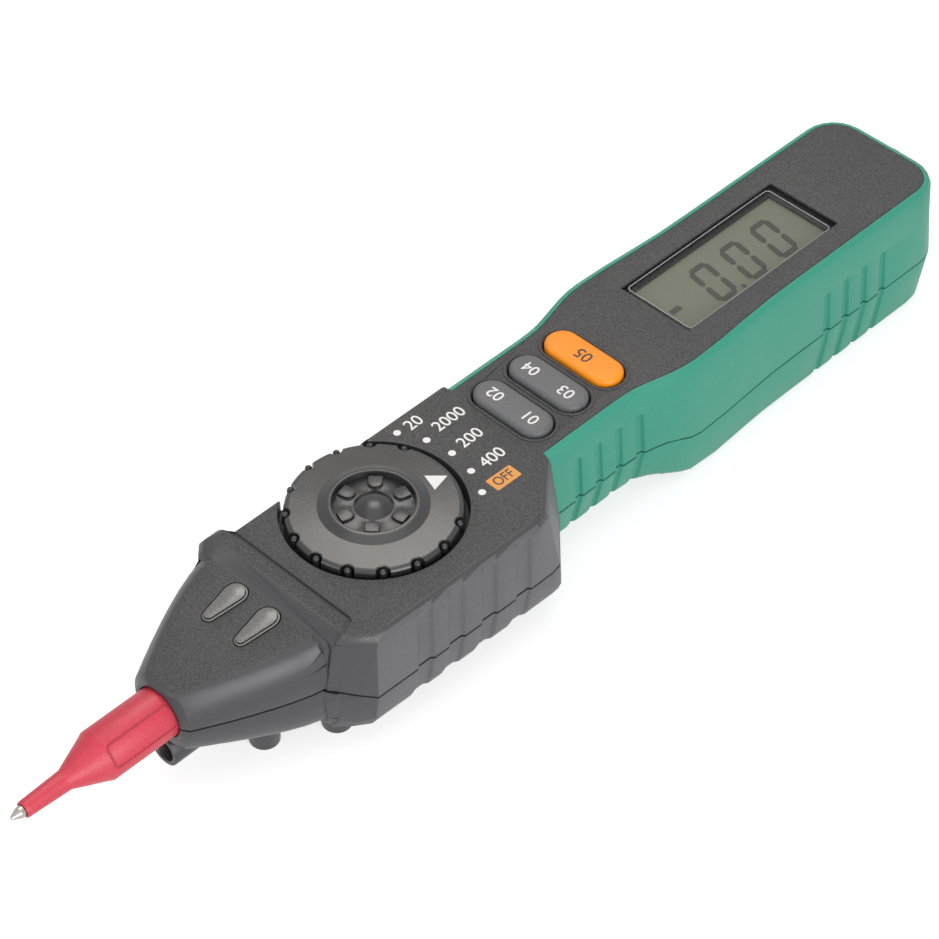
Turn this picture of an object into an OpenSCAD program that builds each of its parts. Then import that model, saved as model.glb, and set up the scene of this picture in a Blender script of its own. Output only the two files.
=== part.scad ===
/* [Overall] */
// Dial centre to the tip of the probe, along the meter
probe_reach = 76.7; // [72:0.1:84]
// Dial centre to the end of the jack at the tail
tail_reach = 131.3; // [130.5:0.1:134]
// Dial axis to the outside of the ribbed grip
grip_reach = 21.4; // [20.6:0.1:24]
// Half the width of the collar band behind the nose
band_half = 16.6; // [16:0.1:18]
// Height of the face above the table
face_h = 27.2; // [26.6:0.1:30]

/* [Handle] */
// Distance behind the dial where the coloured grip starts
handle_start = 28; // [27.6:0.1:28.4]
// Half the width of the face plate at the buttons
waist_half = 10.5; // [10.3:0.1:11.5]
// Half the width of the face plate at the shoulder
shoulder_half = 13.2; // [12.6:0.1:14]
// Half the width of the face plate along the hand grip
hand_half = 12.1; // [11.9:0.1:13]
// Distance behind the dial where the waist ends
waist_end = 46; // [44:0.5:48]
// Distance behind the dial of the widest place of the shoulder
shoulder_at = 62; // [60:0.5:65]
// Distance behind the dial where the shoulder has faded out
hand_at = 86; // [80:0.5:92]
// Distance behind the dial of the end of the face plate
tail_seam = 127.2; // [126.8:0.1:127.6]
// Corner radius of the face plate at the tail
tail_r = 5.5; // [4:0.1:7]
// Width of the coloured rim beside the face plate, at the top
skin_top = 1.4; // [1.2:0.1:2]
// Width of the coloured rim at the parting line
skin_side = 2.3; // [2:0.1:2.6]
// Wall of the dark inner shell under the coloured rim
core_wall = 1.4; // [1:0.1:1.6]

/* [Dial section] */
// Half width of the straight side, at which the dial edge sticks out
thumb_half = 13; // [12.6:0.1:13.6]
// Distance from the dial centre to the front edge of the deck
deck_front = 18.9; // [18.3:0.1:19.5]
// Height of the bevel round the deck
bevel_h = 1.3; // [0.8:0.1:2]
// Width of the bevel round the deck
bevel_w = 0.9; // [0.5:0.1:1.2]
// Thickness of the case walls of the dial section
case_wall = 2; // [1.6:0.1:2.4]
// Thickness of the deck and the face plate
deck_t = 2; // [1.6:0.1:2.2]
// Depth of the grip recesses
recess_d = 0.5; // [0.2:0.05:0.8]
// Width of a grip recess
recess_w = 2.6; // [1.5:0.1:3.5]

/* [Heights] */
// Depth of the parting line below the face, at the dial and the buttons
parting_front = 13.8; // [13:0.1:14.4]
// Depth of the parting line below the face, along the hand grip
parting_rear = 15.7; // [15.5:0.1:16]
// Depth of the probe axis and of the parting line along the nose
probe_depth = 10.8; // [10.4:0.1:11]
// Depth of the underside below the dial and the buttons
belly_depth = 22; // [21.4:0.1:22.8]

/* [Nose] */
// Distance from the dial centre to the end of the nose
nose_reach = 47; // [46:0.1:49]
// Half width of the nose where it meets the band
nose_half = 15.3; // [15:0.1:15.6]
// Radius of the round end of the nose
nose_end_r = 6.1; // [6:0.1:6.6]
// Depth of the nose panel below the face, at the band
panel_depth = 1.7; // [1.5:0.1:2.2]
// Depth of the band's flat top below the face
band_step = 0.7; // [0.5:0.1:1]

/* [Dial] */
// Radius of the dial's edge
dial_r = 14.6; // [14:0.1:15]
// Radius of the round pocket that the dial turns in
pocket_r = 15.5; // [15.3:0.1:16]
// Depth of the pocket
pocket_d = 3.4; // [3.2:0.1:3.6]
// Height of the dial's top above the face
dial_rise = 1; // [0.6:0.1:1.6]
// Radius of the raised hub rim
hub_r = 7.1; // [6.8:0.1:7.6]
// Number of notches round the edge
notch_count = 13; // [9:1:13]
// Angle between two notches
notch_pitch = 22.9; // [20:0.1:23]
// Radius of the dial's shaft
shaft_r = 4; // [3.5:0.1:4.5]
// Radial running clearance of the shaft
shaft_gap = 0.06; // [0.03:0.01:0.09]
// Angle between two positions of the dial
dial_step = 16.8; // [15:0.1:17]

/* [Buttons] */
// Length of a button
button_l = 16; // [15:0.1:16.4]
// Width of a button
button_w = 6.4; // [5.8:0.1:6.6]
// Height of a button above the face
button_rise = 1; // [0.8:0.1:1.5]
// Distance between two buttons
button_pitch = 8.5; // [8.4:0.1:8.8]
// Distance from the dial centre to the nearest button
button_at = 31.9; // [31.5:0.1:32.3]
// Travel of the push button
button_travel = 0.7; // [0.4:0.1:0.8]

/* [Display] */
// Half width of the display window
window_half = 7.8; // [7.4:0.1:8]
// Distance from the dial centre to the near edge of the window
window_at = 66.4; // [66:0.1:67]
// Length of the window
window_l = 38.9; // [37:0.1:39.2]
// Depth of the window's glass below the face
window_depth = 0.6; // [0.4:0.1:0.8]
// Thickness of the window's glass
window_t = 1; // [0.8:0.1:1.2]

/* [Probe] */
// Radius of the insulating sleeve
sleeve_r = 4.5; // [4.2:0.1:4.6]
// Length of the sleeve's thick part outside the nose
sleeve_l = 13; // [12:0.1:14]
// Length of the sleeve's cone
cone_l = 6; // [5:0.1:7]
// Radius of the sleeve's thin tube at its end
tube_r = 1.45; // [1.4:0.05:1.7]
// Length of bare metal in front of the sleeve
bare_tip = 2.3; // [1.5:0.1:4]
// Radius of the probe pin
pin_r = 1; // [0.8:0.05:1.1]

/* [Battery] */
// Radius of an AAA cell
cell_r = 5.25; // [5:0.05:5.25]
// Length of an AAA cell
cell_l = 44.5; // [44:0.1:44.5]

/* [Jack] */
// Radius of the bore for a 4 mm banana plug
jack_r = 2; // [1.9:0.05:2.1]
// Length of the bore
jack_l = 17; // [14:0.5:17]
// Radius of the insulating shroud
shroud_r = 5.4; // [5:0.1:5.4]

/* [Hidden] */
$fn = 64;
// Small clearances and the overrun of every cut
fit_gap = 0.1;
move_gap = 0.2;
slide_gap = 0.15;
over = 1;

// The dial's axis in the meter's own box
dial_x = (grip_reach - band_half) / 2;
dial_y = (tail_reach - probe_reach) / 2;

// Handle outline: side marks are [distance behind the dial, in a groove]
groove_w = 1.3;
groove_ramp = 0.25;
groove_d = 0.55;
groove_top = 5;
groove_top_rear = 7;
groove_start = 0.7;
front_groove_at = 34.7;
front_groove_pitch = 4.9;
rear_groove_at = 96.2;
rear_groove_pitch = 5;
groove_count = 4;
arc_steps = 6;
shoulder_steps = 4;
core_lap = 4;
front_draft = 1.4;
belly_draft = 1.6;
joint_step = 0.4;

function lerp(a, b, t) = a + (b - a) * t;
function ease(t) = (1 - cos(180 * min(1, max(0, t)))) / 2;
function blend(s, s0, s1, a, b) = a + (b - a) * ease((s - s0) / (s1 - s0));
function handle_half(s) = s < shoulder_at ? blend(s, waist_end, shoulder_at, waist_half, shoulder_half)
    : blend(s, shoulder_at, hand_at, shoulder_half, hand_half);
function mirrored(chain) = [for (p = chain) [-p[0], p[1]]];
function marks_at(c, w, ramp) = [[c - w / 2 - ramp, 0], [c - w / 2, 1], [c + w / 2, 1], [c + w / 2 + ramp, 0]];
function groove_group(at, pitch) = [for (i = [0:groove_count - 1]) each marks_at(at + i * pitch, groove_w, groove_ramp)];
function between(a, b, n) = [for (i = [1:n]) [a + (b - a) * i / (n + 1), 0]];
front_groove_end = front_groove_at + (groove_count - 1) * front_groove_pitch + groove_w / 2 + groove_ramp;
rear_groove_start = rear_groove_at - groove_w / 2 - groove_ramp;
side_marks = concat(
    groove_group(front_groove_at, front_groove_pitch),
    between(front_groove_end, shoulder_at, shoulder_steps),
    [[shoulder_at, 0]],
    between(shoulder_at, rear_groove_start, shoulder_steps),
    groove_group(rear_groove_at, rear_groove_pitch),
    [[tail_seam - tail_r, 0]]);
// One side of the handle, from front to tail, set out by d, with the grooves cut into it
function handle_chain(d, cut = 0, front = handle_start) = concat(
    [for (m = concat([[front, 0]], side_marks)) [handle_half(m[0]) + d - cut * m[1], -m[0]]],
    [for (i = [1:arc_steps]) let (a = 90 * i / arc_steps)
        [hand_half - tail_r + (tail_r + d) * cos(a), -(tail_seam - tail_r) - (tail_r + d) * sin(a)]]);

// Heights along the handle, below the face
step_start = 54;
step_end = 62;
hump_start = 49;
hump_end = 66;
function parting_z(s) = -blend(s, step_start, step_end, parting_front, parting_rear);
function bottom_z(s) = -blend(s, hump_start, hump_end, belly_depth, face_h);
function groove_line(s) = -blend(s, step_start, step_end, groove_top, groove_top_rear);
// Where the dark part ends and the coloured part starts, at depth h below the face
function joint_at(h) = h < parting_front ? handle_start + front_draft * h / parting_front
    : handle_start + front_draft + belly_draft * (h - parting_front) / (belly_depth - parting_front);

// Dial section outline, as shares of the grip's reach and of the deck's front or the handle's start
recess_ramp = 0.5;
grip_front = 16.4;
recess_shares = [0.543, 0.134, -0.305, -0.768];
grip_rear = 15.4;
grip_narrowing = 0.9;
ear_top_shares = [[0.745, 1.27], [0.8, 1.2], [0.868, 1.13], [0.948, 1.01]];
ear_low_shares = [[0.715, 1.381], [0.78, 1.275], [0.879, 1.148], [0.956, 1.021]];
heel_top_shares = [[0.995, 0.57], [0.95, 0.675]];
heel_low_shares = [[1, 0.69], [0.98, 0.765]];
ear_depth = probe_depth;
ear_turn_share = 0.3;
// The ribbed side at a distance y in front of the dial axis
function grip_half(y) = grip_reach - grip_narrowing * (grip_rear + y) / (grip_front + grip_rear);
// The gripped side from front to rear at depth h, set out by d, with the recesses cut into it
function grip_chain(h, d, cut = 0) = let (e = min(1, h / ear_depth), k = h / parting_front)
    concat([for (i = [0:len(ear_top_shares) - 1]) let (p = lerp(ear_top_shares[i], ear_low_shares[i], e))
            [-(grip_reach * p[0] + d), deck_front * p[1] + (i == 0 ? d : 0)]],
        [[-(grip_half(grip_front) + d), grip_front]],
        [for (c = recess_shares) each [for (m = marks_at(-grip_front * c, recess_w, recess_ramp))
            [-(grip_half(-m[0]) + d - cut * m[1]), -m[0]]]],
        [for (i = [0:len(heel_top_shares) - 1]) let (p = lerp(heel_top_shares[i], heel_low_shares[i], k))
            [-(grip_reach * p[0] + d), -handle_start * p[1]]],
        [[-(waist_half + lerp(skin_top, skin_side, min(1, k)) + joint_step + d), -joint_at(h)]]);
// The other side. On the top ring the places of the ear all lie in front of the deck
function thumb_chain(h, d) = let (n = len(grip_chain(0, 0)) - 1, m = len(ear_top_shares), x = thumb_half + d,
    y0 = deck_front + band_l + d, y1 = -joint_at(h)) h > 0 ? [for (i = [0:n]) [x, lerp(y0, y1, i / n)]]
    : [for (i = [0:n]) [x, i < m ? lerp(y0, deck_front, i / m) : lerp(deck_front, y1, (i - m) / (n - m))]];

// Band behind the nose
band_l = 2.7;
band_rear = 18.6;
band_corner = 1.8;
facet_run = 3;
band_top_inset = 1.2;
// Nose sections: half width at the parting line, half width of the panel, height above or below the axis
nose_at = 25;
nose_lap = 3;
panel_half = 11.7;
panel_tip_half = 2.8;
nose_bow = 1.3;
panel_bow = 1.5;
panel_tip_depth = 4.7;
belly_rise = 0.7;
side_turn = 58;
nose_round = 0.8;
nose_steps = 7;
section_steps = 7;
square_power = 3.4;
round_power = 2;
function nose_share(y) = max(0, (y - nose_at) / (nose_reach - nose_at));
function nose_w(y) = lerp(nose_half, nose_end_r, pow(nose_share(y), nose_bow));
function panel_w(y) = lerp(panel_half, panel_tip_half, pow(nose_share(y), panel_bow));
function panel_z(y) = -lerp(panel_depth, panel_tip_depth, nose_share(y));
function nose_under(y) = lerp(belly_depth - probe_depth - belly_rise, nose_end_r, pow(nose_share(y), nose_bow));
function nose_power(y) = lerp(square_power, round_power, min(1, nose_share(y)));
// A quarter of a section: it leaves the parting line upright and reaches the flat after a turn of a
function quarter(w, f, h, p, a) = let (c = pow(max(0, cos(a)), 2 / p), s = pow(sin(a), 2 / p))
    [for (i = [0:section_steps]) let (b = a * i / section_steps)
        [f + (w - f) * (pow(max(0, cos(b)), 2 / p) - c) / (1 - c), h * pow(sin(b), 2 / p) / s]];
// A section at y, set in by d, over the parting line when up is 1 and under it when up is -1
function nose_section(y, up, d = 0) = let (w = nose_w(y) - d, f = max(fit_gap, (up > 0 ? panel_w(y) : w / 2) - d),
    h = (up > 0 ? probe_depth + panel_z(y) : nose_under(y)) - d,
    q = quarter(w, min(f, w - fit_gap), h, nose_power(y), up > 0 ? side_turn : 90))
    concat([for (p = q) [-up * p[0], y, -probe_depth + up * p[1]]],
        [for (i = [section_steps:-1:0]) [up * q[i][0], y, -probe_depth + up * q[i][1]]]);
nose_ys = concat([nose_at - nose_lap], [for (i = [0:nose_steps]) lerp(nose_at, nose_reach - nose_round, i / nose_steps)]);

// Closed solid through rings of equal length, each counter-clockwise seen from the last ring's end
module loft(rings) {
    n = len(rings[0]);
    m = len(rings);
    half = n / 2;
    top = (m - 1) * n;
    polyhedron(
        points = [for (r = rings) each r],
        faces = concat(
            [for (j = [0:half - 2]) each [[j, j + 1, n - 2 - j], [j, n - 2 - j, n - 1 - j]]],
            [for (j = [0:half - 2]) each [[top + j, top + n - 2 - j, top + j + 1], [top + j, top + n - 1 - j, top + n - 2 - j]]],
            [for (k = [0:m - 2]) for (i = [0:n - 1]) let (a = k * n + i, b = k * n + (i + 1) % n)
                each [[a, a + n, b + n], [a, b + n, b]]]));
}
// A level ring through a left and a right side, at the heights that zf gives
function ring(left, right, zf) = concat([for (p = left) [p[0], p[1], zf(-p[1])]],
    [for (i = [len(right) - 1:-1:0]) [right[i][0], right[i][1], zf(-right[i][1])]]);
function handle_ring(d, h, zf, cut = 0) = let (c = handle_chain(d, cut, joint_at(h))) ring(mirrored(c), c, zf);
function deck_ring(h, d, cut = 0) = ring(grip_chain(h, d, cut), thumb_chain(h, min(d, 0)), function(s) -h);
function band_ring(h, half, front) = let (left = [[-half + band_corner, front], [-half, front - band_corner],
    [-half, band_rear + band_corner / 2], [-half + 1.5 * band_corner, band_rear]])
    ring(left, mirrored(left), function(s) -h);
module side_profile(left, right, z0, z1) {
    translate([0, 0, z0]) linear_extrude(z1 - z0)
        polygon(concat(left, [for (i = [len(right) - 1:-1:0]) right[i]]));
}
// A prism across the meter, from an outline of distances forward and heights
module across(x0, x1, points) {
    translate([x0, 0, 0]) rotate([90, 0, 90]) linear_extrude(x1 - x0) polygon(points);
}
module box(x0, x1, y0, y1, z0, z1) {
    translate([x0, y0, z0]) cube([x1 - x0, y1 - y0, z1 - z0]);
}
// A stadium across the meter, its upper edge rounded by r
module pill(l, w, z0, z1, r) {
    h = w / 2;
    edge = [for (i = [0:arc_steps]) let (a = 90 * i / arc_steps) [h - r + r * cos(a), z1 - r + r * sin(a)]];
    for (x = [-1, 1]) translate([x * (l - w) / 2, 0, 0])
        rotate_extrude() polygon(concat([[0, z0], [h, z0]], edge, [[0, z1]]));
    across(-(l - w) / 2, (l - w) / 2, concat([[h, z0]], edge,
        [for (i = [arc_steps:-1:0]) [-edge[i][0], edge[i][1]]], [[-h, z0]]));
}
module stadium(l, w, z0, z1) {
    for (x = [-1, 1]) translate([x * (l - w) / 2, 0, z0]) cylinder(d = w, h = z1 - z0);
    box(-(l - w) / 2, (l - w) / 2, -w / 2, w / 2, z0, z1);
}
module tube(r_out, r_in, h) {
    difference() {
        cylinder(r = r_out, h = h);
        translate([0, 0, -over]) cylinder(r = r_in, h = h + 2 * over);
    }
}
// Outline of a drop: a circle of radius r0, and one of radius r1 at a distance l in front of it
function drop(r0, r1, l, n = 10) = let (a = asin((r0 - r1) / l)) concat(
    [for (i = [0:n]) let (b = a + (180 - 2 * a) * i / n) [r1 * cos(b), l + r1 * sin(b)]],
    [for (i = [0:n]) let (b = 180 - a + (180 + 2 * a) * i / n) [r0 * cos(b), r0 * sin(b)]]);
// Along the meter's length, from the dial's axis forward
module along_y(y, x = 0, z = -probe_depth) {
    translate([x, y, z]) rotate([-90, 0, 0]) children();
}
// From the dial's axis on the face to the meter's own frame
module place() translate([dial_x, dial_y, face_h]) children();

// Case walls and screws
screw_r = 1.1;
screw_head_r = 1.8;
screw_head_h = 1.5;
screw_l = 10;
post_r = 2.5;
post_split = 12;
head_floor = 16;
front_post_x = 10.6;
front_post_y = 19.6;
rear_post_x = 8.8;
rear_post_y = -59.5;
posts = [[-front_post_x, front_post_y], [front_post_x, front_post_y], [-rear_post_x, rear_post_y], [rear_post_x, rear_post_y]];
foot_r = 2.6;
front_foot_x = 4.8;
front_foot_y = 30.2;
cavity_wall = 3;
nose_wall = 3;
roof = 2.2;

// Inner places, below the face
board_top = 8.2;
board_t = 1.2;
board_bottom = board_top + board_t;
board_rear = 109;
board_waist = 8.8;
board_front = 14;
tongue_half = 7;
tongue_front = 29.6;
cup_r = 17;
cup_t = 1.6;
rotor_gap = 0.2;
rotor_top = pocket_d + cup_t + rotor_gap;
rotor_t = 1.8;
rotor_r = 9;
stub_r = 2.4;
ball_r = 0.6;
ball_at = 9.4;
ring_in = 10.2;
ring_out = 12;
flange_gap = 0.2;
flange_t = 0.8;
pad_top = 4.4;
pad_t = 1;

module core(d, h0, h1, front) {
    side_profile(mirrored(handle_chain(d, 0, front)), handle_chain(d, 0, front), -h1, -h0);
}
// Cutter for a dark half: all that lies over the parting line, or all that lies under it
module parting_cutter(up) {
    edge = [[tail_reach, -probe_depth], [deck_front * ear_low_shares[0][1], -probe_depth],
        [deck_front * ear_low_shares[1][1], -lerp(probe_depth, parting_front, ear_turn_share)],
        [deck_front * ear_low_shares[3][1], -parting_front], [-tail_reach, -parting_front]];
    across(-face_h, face_h, concat(edge, up ? [[-tail_reach, face_h], [tail_reach, face_h]]
        : [[-tail_reach, -2 * face_h], [tail_reach, -2 * face_h]]));
}
module deck_body() {
    loft([deck_ring(parting_front + over, 0, recess_d), deck_ring(parting_front, 0, recess_d),
        deck_ring(bevel_h + over, 0, recess_d), deck_ring(bevel_h, 0),
        deck_ring(bevel_h * 0.35, -bevel_w * 0.5), deck_ring(0, -bevel_w)]);
}
module band_body() {
    loft([band_ring(parting_front + over, band_half, nose_at + facet_run / 2), band_ring(ear_depth, band_half, nose_at + facet_run / 4),
        band_ring(ear_depth / 2, band_half, nose_at), band_ring(panel_depth + over, band_half - bevel_w / 4, nose_at),
        band_ring(panel_depth, band_half - bevel_w, nose_at - bevel_w / 2),
        band_ring(band_step, band_half - bevel_w - band_top_inset, deck_front + band_l)]);
}
module nose_body(up) {
    loft(concat([for (y = nose_ys) nose_section(y, up)], [nose_section(nose_reach, up, nose_round)]));
}
// What is cut off over the band: a step in front of the deck, and a facet down to the nose panel
module front_step() {
    ear_x = grip_reach * ear_top_shares[0][0];
    translate([0, 0, -band_step]) linear_extrude(face_h)
        polygon([[band_half + over, deck_front], [-ear_x + bevel_w * 2, deck_front], [-ear_x + bevel_w, deck_front + bevel_w / 2],
            [-ear_x + bevel_w / 3, deck_front + band_l], [-ear_x + bevel_w / 3, nose_reach], [band_half + over, nose_reach]]);
    across(-ear_x, band_half + over, [[deck_front + band_l, -band_step], [nose_at, panel_z(nose_at)],
        [nose_reach + over, panel_z(nose_reach + over) + fit_gap], [nose_reach + over, face_h], [deck_front + band_l, face_h]]);
}
module deck_cavity(h0, h1) {
    x = grip_reach - cavity_wall;
    side_profile([[-x, deck_front - case_wall], [-x, -grip_rear], [-waist_half + core_wall, -handle_start + case_wall]],
        [[thumb_half - case_wall, deck_front - case_wall], [thumb_half - case_wall, -grip_rear],
            [waist_half - core_wall, -handle_start + case_wall]], -h1, -h0);
}
module nose_cavity(h0, h1, y1) {
    ys = [for (i = [0:section_steps]) lerp(deck_front - case_wall - over, y1, i / section_steps)];
    side_profile([for (i = [section_steps:-1:0]) [-(nose_w(ys[i]) - nose_wall), ys[i]]],
        [for (i = [section_steps:-1:0]) [nose_w(ys[i]) - nose_wall, ys[i]]], -h1, -h0);
}
bush_r = 3;
bush_rear = 30;
bush_wall = 37.5;
sleeve_rear = 43;
nose_bore_r = sleeve_r + slide_gap;
// The round hole through the nose, split by both halves
module nose_bore() {
    along_y(bush_wall - over) cylinder(r = bush_r, h = sleeve_rear - bush_wall + over);
    along_y(sleeve_rear - over) cylinder(r = nose_bore_r, h = nose_reach);
}
module post_holes(r, h0, h1) {
    for (p = posts) translate([p[0], p[1], -h1]) cylinder(r = r, h = h1 - h0);
}
shroud_out = tail_reach - tail_seam;
shroud_in = 6;
shroud_flange_r = shroud_r + over;
jack_depth = 8.8;
jack_wall = 1.1;
jack_recess = 2;
bulkhead_half = hand_half - tail_r;
bulkhead_drop = parting_rear - fit_gap;
module jack_hole(r) {
    translate([0, -tail_reach - over, -jack_depth]) rotate([-90, 0, 0]) cylinder(r = r, h = shroud_out + over + 2 * core_wall);
}
button_ys = [-button_at, -button_at - button_pitch, -button_at - 2 * button_pitch];
button_gap = 0.3;
pane_ledge = 0.8;
pane_x = window_half + pane_ledge;
pane_y0 = -window_at + pane_ledge;
pane_y1 = -window_at - window_l - pane_ledge;
lens_x = 3.7;
lens_y = 26.9;
lens_r = 2.1;
lens_tip_r = 1.2;
lens_l = 5.6;
lens_tilt = atan((panel_tip_depth - panel_depth) / (nose_reach - nose_at));
module lens_at(x) {
    translate([x, lens_y, panel_z(lens_y)]) rotate([-lens_tilt, 0, 0]) children();
}
module upper_case() {
    color("dimgray") place() {
        difference() {
            union() {
                difference() {
                    union() {
                        core(0, 0, parting_front, handle_start - core_lap);
                        deck_body();
                        band_body();
                        nose_body(1);
                    }
                    front_step();
                    core(-core_wall, deck_t, face_h, handle_start - case_wall - over);
                    deck_cavity(pocket_d + cup_t, face_h);
                    nose_cavity(panel_depth + roof + over, face_h, bush_wall - over);
                }
                intersection() {
                    translate([0, 0, -pocket_d - cup_t]) cylinder(r = cup_r, h = pocket_d + cup_t - bevel_h);
                    deck_cavity(bevel_h, pocket_d + cup_t);
                }
                box(-bulkhead_half, bulkhead_half, -tail_seam, -tail_seam + core_wall, -bulkhead_drop, -deck_t);
                for (p = posts) translate([p[0], p[1], -post_split]) cylinder(r = post_r, h = post_split - deck_t);
            }
            parting_cutter(false);
            translate([0, 0, -pocket_d]) cylinder(r = pocket_r, h = face_h);
            translate([0, 0, -face_h]) cylinder(r = shaft_r + shaft_gap, h = face_h);
            for (y = button_ys) translate([0, y, 0])
                stadium(button_l + 2 * button_gap, button_w + 2 * button_gap, -deck_t - over, over);
            box(-window_half, window_half, -window_at - window_l, -window_at, -deck_t - over, over);
            box(-pane_x - fit_gap, pane_x + fit_gap, pane_y1 - fit_gap, pane_y0 + fit_gap, -deck_t - over, -window_depth);
            for (x = [-lens_x, lens_x]) lens_at(x) translate([0, 0, -face_h]) linear_extrude(2 * face_h)
                polygon(drop(lens_r + fit_gap, lens_tip_r + fit_gap, lens_l));
            nose_bore();
            jack_hole(shroud_r + fit_gap);
            post_holes(screw_r, head_floor - screw_l - fit_gap, face_h);
        }
    }
}
module upper_grip() {
    color("seagreen") place() difference() {
        loft([
            handle_ring(skin_side, parting_front, function(s) parting_z(s), groove_d),
            handle_ring(lerp(skin_top, skin_side, 0.35), groove_top + groove_start,
                function(s) groove_line(s) - groove_start, groove_d),
            handle_ring(lerp(skin_top, skin_side, 0.3), groove_top, function(s) groove_line(s)),
            handle_ring(skin_top, bevel_h, function(s) -bevel_h),
            handle_ring(skin_top * 0.75, bevel_h * 0.3, function(s) -bevel_h * 0.3),
            handle_ring(skin_top * 0.3, 0, function(s) 0)]);
        core(0, -over, face_h, handle_start - core_lap);
        jack_hole(shroud_r + fit_gap);
    }
}
module lower_case_body() {
    front = nose_at + facet_run / 2;
    loft([deck_ring(belly_depth, -3 * bevel_w), deck_ring(belly_depth - bevel_h / 2, -2 * bevel_w, recess_d),
        deck_ring(belly_depth - 2 * bevel_h, -bevel_w, recess_d), deck_ring(parting_front, 0, recess_d),
        deck_ring(ear_depth - over, 0, recess_d)]);
    loft([band_ring(belly_depth - belly_rise, band_half - 3 * bevel_w, front - 2 * bevel_w),
        band_ring(belly_depth - 2 * bevel_h, band_half - bevel_w, front - bevel_w),
        band_ring(parting_front, band_half, front), band_ring(ear_depth - over, band_half, front)]);
    nose_body(-1);
}
torch_r = 3.1;
torch_in = 2.2;
torch_at = 19.8;
torch_rear = 38;
torch_front = 47;
key_tongue = 2;
key_half = 7;
key_l = 12;
module lower_case() {
    floor_h = belly_depth - case_wall;
    color("dimgray") place() difference() {
        union() {
            difference() {
                lower_case_body();
                deck_cavity(0, floor_h);
                nose_cavity(0, floor_h - 2 * belly_rise, bush_wall - case_wall);
                along_y(bush_rear) cylinder(r = bush_r + fit_gap, h = bush_wall - bush_rear);
                core(-core_wall, 0, floor_h, handle_start - case_wall - over);
            }
            for (x = [-1, 1]) {
                translate([x * front_post_x, front_post_y, -face_h]) cylinder(r = foot_r, h = face_h - post_split);
                translate([x * front_foot_x, front_foot_y, -face_h]) cylinder(r = foot_r, h = face_h - floor_h + over);
            }
            along_y(torch_rear, 0, -torch_at) cylinder(r = torch_r, h = torch_front - torch_rear);
            box(-key_half, key_half, -joint_at(belly_depth) - key_l, -handle_start + case_wall, -floor_h, -floor_h + key_tongue);
        }
        parting_cutter(true);
        nose_bore();
        along_y(torch_rear - over, 0, -torch_at) cylinder(r = torch_in, h = torch_front - torch_rear + 2 * over);
        for (x = [-front_post_x, front_post_x]) {
            translate([x, front_post_y, -face_h]) cylinder(r = screw_r + fit_gap, h = face_h);
            translate([x, front_post_y, -face_h - over]) cylinder(r = screw_head_r + fit_gap, h = face_h - head_floor + over);
        }
    }
}
// Battery bay
bay_front = 66.2;
cell_gap = 0.05;
cell_x = cell_r + cell_gap;
cell_depth = 20.6;
cell_rear = 114.5;
bay_half = cell_x + cell_r + slide_gap;
cross_wall = 1.4;
plate_t = 0.4;
spring_l = 2.5;
cover_half = bay_half - slide_gap;
cover_t = 1.2;
cover_step = 0.2;
rail_depth = 24.4;
rail_h = 0.8;
rail_w = 0.7;
lug_t = 1;
tail_wall = 5;
cell_top = cell_depth - cell_r;
bay_rear = cell_rear + plate_t + cross_wall;
module lower_grip_body() {
    loft([
        handle_ring(-0.25 * skin_side, belly_depth, function(s) bottom_z(s)),
        handle_ring(0.15 * skin_side, belly_depth, function(s) bottom_z(s) + 0.5 * skin_top, groove_d),
        handle_ring(0.4 * skin_side, belly_depth, function(s) bottom_z(s) + 1.3 * skin_top, groove_d),
        handle_ring(skin_side, parting_front, function(s) parting_z(s), groove_d)]);
}
module lower_grip() {
    floor_h = belly_depth - case_wall;
    color("seagreen") place() difference() {
        union() {
            difference() {
                lower_grip_body();
                intersection() {
                    core(-core_wall, 0, face_h, handle_start - core_lap);
                    across(-face_h, face_h, [[0, 0], [0, -floor_h], [-hump_start, -floor_h], [-hump_end + over, -floor_h - over],
                        [-hump_end + over, 0]]);
                }
                intersection() {
                    core(-core_wall, 0, rail_depth - 2 * rail_h, handle_start - core_lap);
                    box(-face_h, face_h, -tail_reach, -bay_front, -face_h, 0);
                }
                box(-bay_half, bay_half, -tail_seam + core_wall, -bay_front, -face_h - over, 0);
                box(-bay_half, bay_half, -tail_reach, -bay_front, -face_h - over, -face_h + tail_wall);
                box(-bay_half - rail_w, bay_half + rail_w, -tail_reach, -bay_front, -rail_depth - rail_h, -rail_depth);
            }
            box(-bay_half, bay_half, -bay_rear, -bay_rear + cross_wall, -face_h + tail_wall - over, -cell_top);
            box(-bay_half - over, bay_half + over, -bay_front + fit_gap, -bay_front + fit_gap + cross_wall, -face_h + case_wall, -cell_top);
            for (x = [-rear_post_x, rear_post_x]) intersection() {
                translate([x, rear_post_y, -face_h + over]) cylinder(r = post_r, h = face_h - over - post_split);
                core(0, 0, face_h, handle_start);
            }
        }
        box(-key_half - fit_gap, key_half + fit_gap, -joint_at(belly_depth) - key_l - fit_gap, 0, -floor_h - fit_gap, -floor_h + key_tongue);
        for (x = [-rear_post_x, rear_post_x]) {
            translate([x, rear_post_y, -face_h]) cylinder(r = screw_r + fit_gap, h = face_h);
            translate([x, rear_post_y, -face_h - over]) cylinder(r = screw_head_r + fit_gap, h = face_h - head_floor + over);
        }
    }
}
thumb_ribs = 5;
thumb_rib_w = 0.8;
thumb_rib_d = 0.3;
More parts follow.
